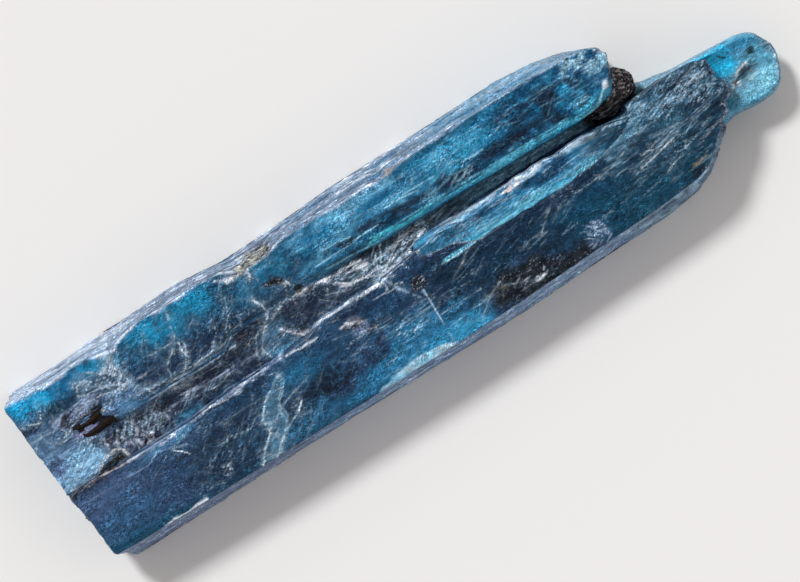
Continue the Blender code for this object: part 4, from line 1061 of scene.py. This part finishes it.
sunken = Skin("sunken_blade", along=0.14, across=0.09, seed=301)
u, v = sunken.u, sunken.v
close = sunken.fray
rough = sunken.cloud(7, 4, 310, octaves=3, thin=0.75)
streak = sunken.cloud(46, 4, 313, octaves=4, thin=0.65)
sunken.colour = mixed(0.4 + 0.4 * close + 0.3 * streak + 0.3 * rough, (14, 24, 44), (50, 70, 96))
sunken.patch(mixed(0.5 + streak * 0.5 + rough * 0.4, (80, 128, 166), (146, 188, 218)), 0.95, 8, (-396, -40),
             (-312, -38), (-326, -9), (-396, -1), lift=0.04)
sunken.spot((66, 76, 116), 0.75, -372, -32, 8, 15, soft=1.5)
sunken.spot((66, 92, 128), 0.75, -350, -39, 34, 5, soft=1.8)
gritty = sunken.field(13, (-328, -34), (-260, -36), (-236, -10), (-320, 0))
sunken.paint(gritty * 0.9, mixed(0.45 + rough * 0.9, (12, 14, 24), (72, 82, 108)), lift=-0.06, coarse=0.6)
grit = fade(sunken.cloud(3.4, 8, 319, octaves=3, thin=0.7) + rough * 0.4, 0.2, 0.8)
sunken.paint(gritty * grit * 0.75, (206, 208, 220), lift=0.08)
hairs(sunken, 95, 40, (-318, -30), (-258, -8), 58, 0.8)
sunken.patch((14, 11, 12), 0.97, 4, (-348, 2), (-330, -11), (-320, -14), (-311, -13), (-308, 2), lift=-0.12)
sunken.stroke((214, 210, 216), 0.9, 1.3, (-342, -4), (-331, -14), (-319, -17), (-311, -14), (-309, -5),
              loose=0.6, broken=0.7, lift=0.05)
hollow = sunken.field(18, (-262, -34), (-180, -44), (-140, -34), (-140, -10), (-250, -8))
sunken.paint(hollow * 0.8, mixed(0.45 + 0.6 * streak + rough * 0.2, (10, 18, 34), (38, 56, 82)), lift=-0.05)
sunken.paint(hollow * fade(streak + rough * 0.3, 0.45, 1.0) * 0.7, (160, 174, 196), lift=0.04)
sunken.patch((74, 136, 170), 0.85, 7, (-134, -20), (-98, -19), (-92, -8), (-130, -8))
sunken.patch((48, 90, 120), 0.75, 12, (-130, -46), (-98, -52), (-104, -22), (-132, -18))
sunken.patch((20, 32, 52), 0.85, 18, (-112, -62), (-52, -58), (-30, -36), (-56, -20), (-98, -20))
slope = sunken.field(14, (-46, -66), (100, -66), (110, -42), (20, -28), (-24, -28))
shred = sunken.cloud(22, 3.0, 322, octaves=4, turn=16, thin=0.7)
sunken.paint(slope * 0.95, mixed(0.35 + shred * 0.6 + rough * 0.4, (8, 13, 20), (44, 58, 76)), coarse=0.2)
sunken.paint(slope * fade(shred + rough * 0.4, 0.7, 1.05) * 0.4, (168, 186, 208), lift=0.06)
sunken.paint(slope * fade(-shred + close * 0.5, 0.4, 1.0) * 0.4, (46, 40, 44))
# the crevice floor towards the tip, painted lighter to make up for the back blade's shade over it: painted
# light
sunken.paint(fade(u + 14 * close, 70, 150) * 0.95,
             mixed(0.5 + rough * 0.6 + streak * 0.4, (44, 86, 106), (122, 166, 184)), coarse=0.4)
hairs(sunken, 88, 26, (-260, -42), (-110, -10), 32, 0.35)
hairs(sunken, 89, 46, (-44, -60), (84, -30), 18, 0.8)
hairs(sunken, 94, 16, (-20, -56), (60, -30), 52, 0.7)
for corners in (((-44, -50), (-30, -54), (-12, -54)), ((-36, -46), (-20, -50), (-4, -50)),
                ((-52, -55), (-40, -51), (-28, -50)), ((0, -26), (14, -36), (24, -52)),
                ((0, -26), (22, -38), (44, -46)), ((0, -26), (-8, -34), (-12, -44))):
    sunken.crack(0.8, 1.3, *corners, colour=(203, 214, 229))
crumbs = sunken.line(3.2, (-112, -34), (-104, -26), (-96, -17), (-86, -17), (-76, -20), loose=1.0, broken=0.8)
sunken.paint(crumbs * 0.95, mixed(0.25 + rough * 0.9, (24, 22, 32), (212, 214, 226)), lift=0.05, coarse=0.8)
sunken.stroke(SOOT, 0.9, 2.4, (-106, -34), (-98, -26), (-92, -22), loose=1.0, broken=0.6, lift=-0.06)
sunken.patch(mixed(0.5 + streak * 0.6 + rough * 0.4, (30, 88, 116), (116, 176, 204)), 0.8, 4, (-128, -15),
             (-104, -17), (-92, -12), (-90, -8), (-126, -8))
sunken.patch(mixed(0.5 + rough, (30, 84, 116), (70, 142, 182)), 0.7, 7, (-250, -12), (-224, -14), (-218, -5),
             (-248, -4))
sunken.patch((28, 86, 110), 0.7, 5, (-206, -13), (-178, -14), (-176, -8), (-204, -7))
for width, corners in (
    (1.5, ((-74, -55), (-62, -56), (-50, -53), (-44, -47), (-38, -40), (-28, -37), (-14, -36), (6, -37))),
    (1.8, ((-28, -49), (-14, -47), (-4, -46))), (1.2, ((22, -45), (32, -48), (60, -52))),
    (1.1, ((-40, -52), (-24, -53), (-8, -52))), (1.0, ((6, -30), (20, -40), (34, -50), (44, -60))),
    (1.3, ((8, -28), (40, -36), (64, -45))),
):
    sunken.stroke((208, 214, 226), 0.9, width * 0.8, *corners, loose=0.8, broken=0.9, lift=0.05)
joint_cracks(sunken)
stray_cracks(sunken, 75, 26, (-300, -42), (-20, -10), lean=(10, 60))
cracks(sunken, (0.6, 1.4, (-236, -38), (-200, -40), (-160, -42)),
       (0.6, 1.2, (-208, -20), (-196, -18), (-180, -22)),
       (0.7, 1.4, (-4, -32), (24, -38), (60, -47), (78, -52)))
sunken.spot(SOOT, 0.95, -75, -58, 4.2, 3.0, soft=0.8)
sunken.stroke((226, 226, 230), 0.95, 1.7, (-80, -55), (-76, -54), (-71, -55), loose=0.3, broken=0.1,
              lift=0.04)
sunken.paint(sunken.web * fade(-u, 0, 60) * sunken.up * 0.2, (84, 112, 144))
sunken.patch((76, 116, 156), 0.35, 12, (-320, -58), (-262, -60), (-256, -36), (-312, -36))
sunken.coarse = np.maximum(sunken.coarse, sunken.up * 0.2 * fade(u, -312, -290))
sunken.at[:, 0] -= 0.22 * fade(-u, 320, 376)
raised = ((0.44 + 0.14 * fade(-v, 31, 39)) * fade(-u, 300, 336) + 1.0 * fade(-u, 132, 165)
          * fade(u, -300, -262) * fade(-v, 26, 42))
raised += 0.5 * fade(u, -165, -135) * fade(-u, 60, 90) * fade(-v, 36, 54)
raised += 0.3 * fade(u, -170, -152) * fade(-u, 105, 125) * fade(-v, 42, 52)
sunken.at[:, 2] += raised * fade(sunken.at[:, 2], 4.9, 5.3)
crevice_shade(sunken)
sunken.snapped((96, 132, 164), (26, 46, 72))
sunken.lift += (1.0 - sunken.ends()) * furrows(sunken, 0.05, 340) + sunken.coarse * rough * 0.10
sunken.finish("kyanite_deep", kyanite("sunken_kyanite", roughness=0.34, fibres=0.75, dust=0.95, veins=0.4))

# ---------------------------------------------------------------- splinter
# A pale splinter of crystal beside the crevice, clear enough to look lit from within, with a bruised
# white upper edge and a thin bright lower one.

splinter = Skin("splinter_blade", along=0.12, across=0.08, seed=401, keep=1.0, reach=0.9)
u, v = splinter.u, splinter.v
streak = splinter.cloud(44, 3.0, 410, octaves=4, thin=0.65)
close = splinter.fray
rough = splinter.cloud(6, 4, 413, octaves=3, thin=0.75)
splinter.colour = mixed(0.5 + streak * 0.5 + close * 0.4, (16, 78, 118), (58, 136, 176))
splinter.patch(mixed(0.5 + streak * 0.8, (36, 136, 178), (124, 198, 220)), 0.9, 7, (92, -15), (170, -18),
               (262, -20), (262, -4), (92, -4))
splinter.paint(fade(streak + close * 0.3, 0.4, 1.0) * 0.35, (124, 184, 212))
splinter.spots((16, 50, 82), 0.8, (200, -29, 22, 6), (172, -33, 12, 4), (215, -34, 10, 4), (120, -28, 18, 3),
               (90, -30, 14, 3), soft=1.4)
bruise = fade(close + rough * 0.6 + 0.5 * noise(u / 14, v / 30, 425), -0.5, 0.5)
upper = splinter.field(7, (40, -34), (76, -40), (120, -46), (262, -48), (270, -34), (240, -40), (160, -38),
                       (110, -39))
splinter.paint(upper * bruise * 0.9, mixed(fade(u, 90, 140) + 0.4 * rough, (116, 180, 212), (212, 232, 250)),
               lift=0.04, coarse=0.5)
splinter.paint(splinter.oval(150, -38, 15, 6, soft=1.2) * fade(rough, -0.2, 0.5) * 0.9, (226, 214, 214),
               lift=0.05)
splinter.paint(splinter.oval(252, -30, 16, 12, soft=1.4) * fade(splinter.cloud(18, 3, 421, turn=-14), -0.3,
               0.4) * 0.8, (150, 180, 200))
splinter.patch(mixed(0.5 + streak * 0.7, (18, 54, 82), (74, 132, 164)), 0.6, 5, (34, -42), (88, -38),
               (100, -22), (80, -16), (34, -16))
hairs(splinter, 90, 44, (56, -44), (240, -14), 3, 0.6)
joint_cracks(splinter)
stray_cracks(splinter, 76, 12, (60, -42), (250, -14), lean=(0, 40), strength=0.4)
wall = (1.0 - splinter.up) * fade(splinter.at[:, 2], 4.9, 5.3) * fade(-v, 20, 30) * fade(u, 56, 90)
splinter.paint(wall * 0.9, mixed(0.5 + streak * 0.6 + rough * 0.3, (40, 66, 92), (176, 192, 208)), coarse=0.5)
torn_face(splinter, fade(u + 12 * close, 222, 266) * fade(splinter.at[:, 2], 4.9, 5.3))
splinter.at[:, 1] += 0.12 * noise(u / 11, v / 40, 441) * fade(np.abs(v + 28), 4, 12)
root = 1.0 - fade(u + 5 * close - 0.5 * (v + 30).clip(0.0, None), 38, 50)
shred = splinter.cloud(22, 3.0, 322, octaves=4, turn=16, thin=0.7)
splinter.paint(root * 0.9, mixed(0.4 + shred * 0.8 + rough * 0.3 + 0.4 * fade(-v, 28, 36), (12, 30, 50),
                                 (70, 108, 142)), coarse=0.3)
height = splinter.at[:, 2] - 4.9
splinter.at[:, 2] -= height * 0.30 * (1.0 - fade(u, 44, 105))
flush = 6.40 - splinter.at[:, 2]
splinter.at[:, 2] += flush * fade(u, 205, 250) * fade(height, 0.5, 0.9)
splinter.at[:, 2] += (flush.clip(0.0, None) * (1.0 - fade(u, 70, 110)) * fade(v, -32, -26)
                      * fade(height, 0.5, 0.9))
splinter.at[:, 1] += 0.5 * (1.0 - fade(u, 56, 100)) * fade(-v, 26, 34)
splinter.lift += furrows(splinter, 0.04, 430, close=1.4) + splinter.coarse * rough * 0.06
splinter.finish("kyanite_pale", kyanite("splinter_kyanite", roughness=0.2, fibres=0.8, dust=0.7, veins=0.1))

# ---------------------------------------------------------------- tip blade
# The low crystal between and under the others. Its rounded end is thin, clean and pale cyan, with a few
# black specks sealed in it.

tip = Skin("tip_blade", along=0.20, across=0.11, seed=501, keep=0.3)
u, v = tip.u, tip.v
close = tip.fray
rough = tip.cloud(7, 5, 510, octaves=3, thin=0.75)
tip.colour = mixed(0.5 + close * 0.4 + rough * 0.3, (44, 126, 164), (106, 178, 208))
tip.patch((30, 182, 232), 0.95, 9, (370, -54), (414, -50), (416, -22), (370, -18))
tip.spot((26, 124, 170), 0.75, 424, -43, 20, 8, soft=1.4)
tip.paint(tip.oval(436, -6, 24, 15, soft=1.5) * fade(close, -0.5, 0.6) * 0.4, (120, 190, 212))
tip.patch((60, 118, 142), 0.4, 12, (384, -28), (420, -22), (452, -14), (452, 2), (430, 8), (396, 6),
          (384, -6))
tip.spot(mixed(0.3 + rough, (10, 24, 34), (52, 100, 122)), 0.85, 416, -14, 21, 8, turn=20, soft=1.2,
         lift=-0.05)
tip.spot(SOOT, 0.95, 404, -10, 9, 3.4, turn=35, soft=1.0, lift=-0.06)
tip.spot((16, 30, 38), 0.9, 420, -19, 6, 3.0, turn=25, soft=1.0, lift=-0.05)
tip.spot((134, 200, 218), 0.4, 432, 4, 26, 12, soft=1.6)
tip.crack(1.0, 2.2, (394, -3), (404, -13), (414, -20), (424, -23), colour=(218, 215, 209))
tip.stroke((176, 204, 218), 0.7, 2.4, (412, -54), (436, -54), (452, -44), (459, -28), (458, -8), (448, 10),
           (430, 17), broken=1.0, coarse=0.5)
tip.stroke((10, 40, 70), 0.95, 1.6, (403, -43), (408, -38), loose=0.2, broken=0.2)
tip.spot((16, 44, 50), 0.95, 436, -30, 4.5, 3.2, soft=0.6, lift=-0.05)
tip.patch(mixed(0.5 + rough, (56, 96, 120), (166, 186, 200)), 0.75, 9, (448, -40), (464, -38), (462, 8),
          (446, 16), (452, -8), coarse=0.9)
tip.patch(mixed(0.5 + close, (44, 88, 112), (120, 160, 182)), 0.8, 6, (300, -70), (404, -70), (404, -50),
          (300, -50), up=False, coarse=0.4)
# the tip's top down in the crevice by the black mica: painted shade
tip.paint(fade(-u, -312, -296) * tip.up * 0.95, mixed(0.5 + rough, (8, 14, 16), (38, 42, 44)))
tip.paint(tip.side * fade(u, 290, 320) * 0.8,
          mixed(0.5 + tip.cloud(40, 3, 522), (50, 96, 122), (128, 170, 192)), coarse=0.4)
rise = fade(u, 350, 470)
tip.at[:, 2] += rise * (2.0 - 0.50 * tip.at[:, 2])
tip.at[:, 0] -= fade(u, 430, 456) * (0.10 + 0.16 * noise(v / 5, tip.at[:, 2] * 0.5, 532)).clip(0.0, None)
crevice_shade(tip)
tip.coarse = np.maximum(tip.coarse, tip.up * 0.08)
tip.lift += furrows(tip, 0.03, 530) + close * 0.02
root = fade(-u, 300, 345)
tip.at[:, 1] += (tip.at[:, 1] - tip.at[:, 1][root > 0.9].mean()) * 0.19 * root
tip.at[:, 2] *= 1.0 + 0.15 * root
tip.at[:, 0] -= 0.6 * root
tip.paint(root * 0.9, mixed(0.5 + close * 0.5, (26, 46, 72), (78, 112, 144)))
tip.snapped((104, 142, 170), (30, 60, 86))
tip.finish("kyanite_pale", kyanite("tip_kyanite", roughness=0.2, fibres=0.3, dust=0.8, veins=0.15))

# ---------------------------------------------------------------- grains of mica
# Grains that grew in the cluster: one black crystal of mica at the end of the crevice, granular and
# dull, and two thin brown lenses lying in pits by the broken end.


def mica(name, roughness):
    """Mica: the painted tone broken up by fine flecks that lie at all angles and shine a little."""
    finish, nodes, shader = new_material(name)
    tone = join(nodes, "ShaderNodeAttribute", attribute_name="tone").outputs["Color"]
    fleck = grain(nodes, 0.20, 0.13, 0.5, 4.0)
    dark = ramp(nodes, fleck, 0.35, 0.65, 0.5, 1.6)
    grey = join(nodes, "ShaderNodeCombineColor", (0, dark), (1, dark), (2, dark)).outputs[0]
    nodes.links.new(tint(nodes, 1.0, tone, grey, "MULTIPLY"), shader.inputs["Base Color"])
    nodes.links.new(ramp(nodes, fleck, 0.4, 0.6, roughness + 0.2, roughness), shader.inputs["Roughness"])
    shader.inputs["Specular IOR Level"].default_value = 0.15
    bump = join(nodes, "ShaderNodeBump", ("Height", fleck), ("Strength", 0.9), ("Distance", 0.00012))
    nodes.links.new(bump.outputs["Normal"], shader.inputs["Normal"])
    return finish


black = Skin("black_grain", along=0.08, across=0.08, seed=601, keep=1.0)
black.colour = mixed(crust(black, 603, 3.0), (8, 8, 11), (34, 32, 36))
black.paint(fade(black.cloud(3, 2, 606), 0.5, 0.7) * 0.6, (120, 116, 118))
black.paint(fade(black.cloud(1.8, 1.4, 608, octaves=1), 0.55, 0.7) * 0.5, (150, 146, 146))
middle = black.at.mean(axis=0)
black.at += (black.at - middle) * np.array((0.12, 0.16, 0.0)) + np.array((-0.22, 0.14, 0.0))
foot = (24.6 - black.at[:, 0]).clip(0.0, None)
black.at += np.stack((-1.5 * foot, -0.5 * foot, -0.7 * foot * fade(black.at[:, 2], 4.0, 6.0)), axis=1)
black.lift += black.cloud(5, 4, 610, octaves=3, thin=0.8) * 0.16 - 0.05
black.finish("mica_black", mica("black_mica", 0.35))
for node, shift, tilt in (("brown_flake_1", -0.72, 0.02), ("brown_flake_2", -0.42, 0.10)):
    flake = Skin(node, along=0.08, across=0.06, seed=621, keep=1.0)
    leaf = flake.cloud(24, 1.6, 624, octaves=3)
    flake.colour = mixed(0.3 + leaf * 0.7, (5, 4, 5), (40, 28, 20))
    middle = (flake.at.max(axis=0) + flake.at.min(axis=0)) / 2
    x, y = (flake.at - middle)[:, :2].T
    across = (y * 0.62 / np.sqrt(1.12 - (x / np.abs(x).max()) ** 2)
              + 0.14 * noise(flake.u / 5, flake.v / 40, 627))
    flake.at[:, 1] = middle[1] + across + tilt * x + shift
    flake.at[:, 2] -= (0.22 - 0.16 * fade(-x, 0.2, 1.2)) * fade(flake.at[:, 2], 5.9, 6.5)
    flake.at[:, 0] += 0.20 * noise(flake.v / 3, flake.u / 40, 628)
    flake.lift += leaf * 0.05 - 0.02
    flake.finish("mica_brown", mica(node + "_mica", 0.5))
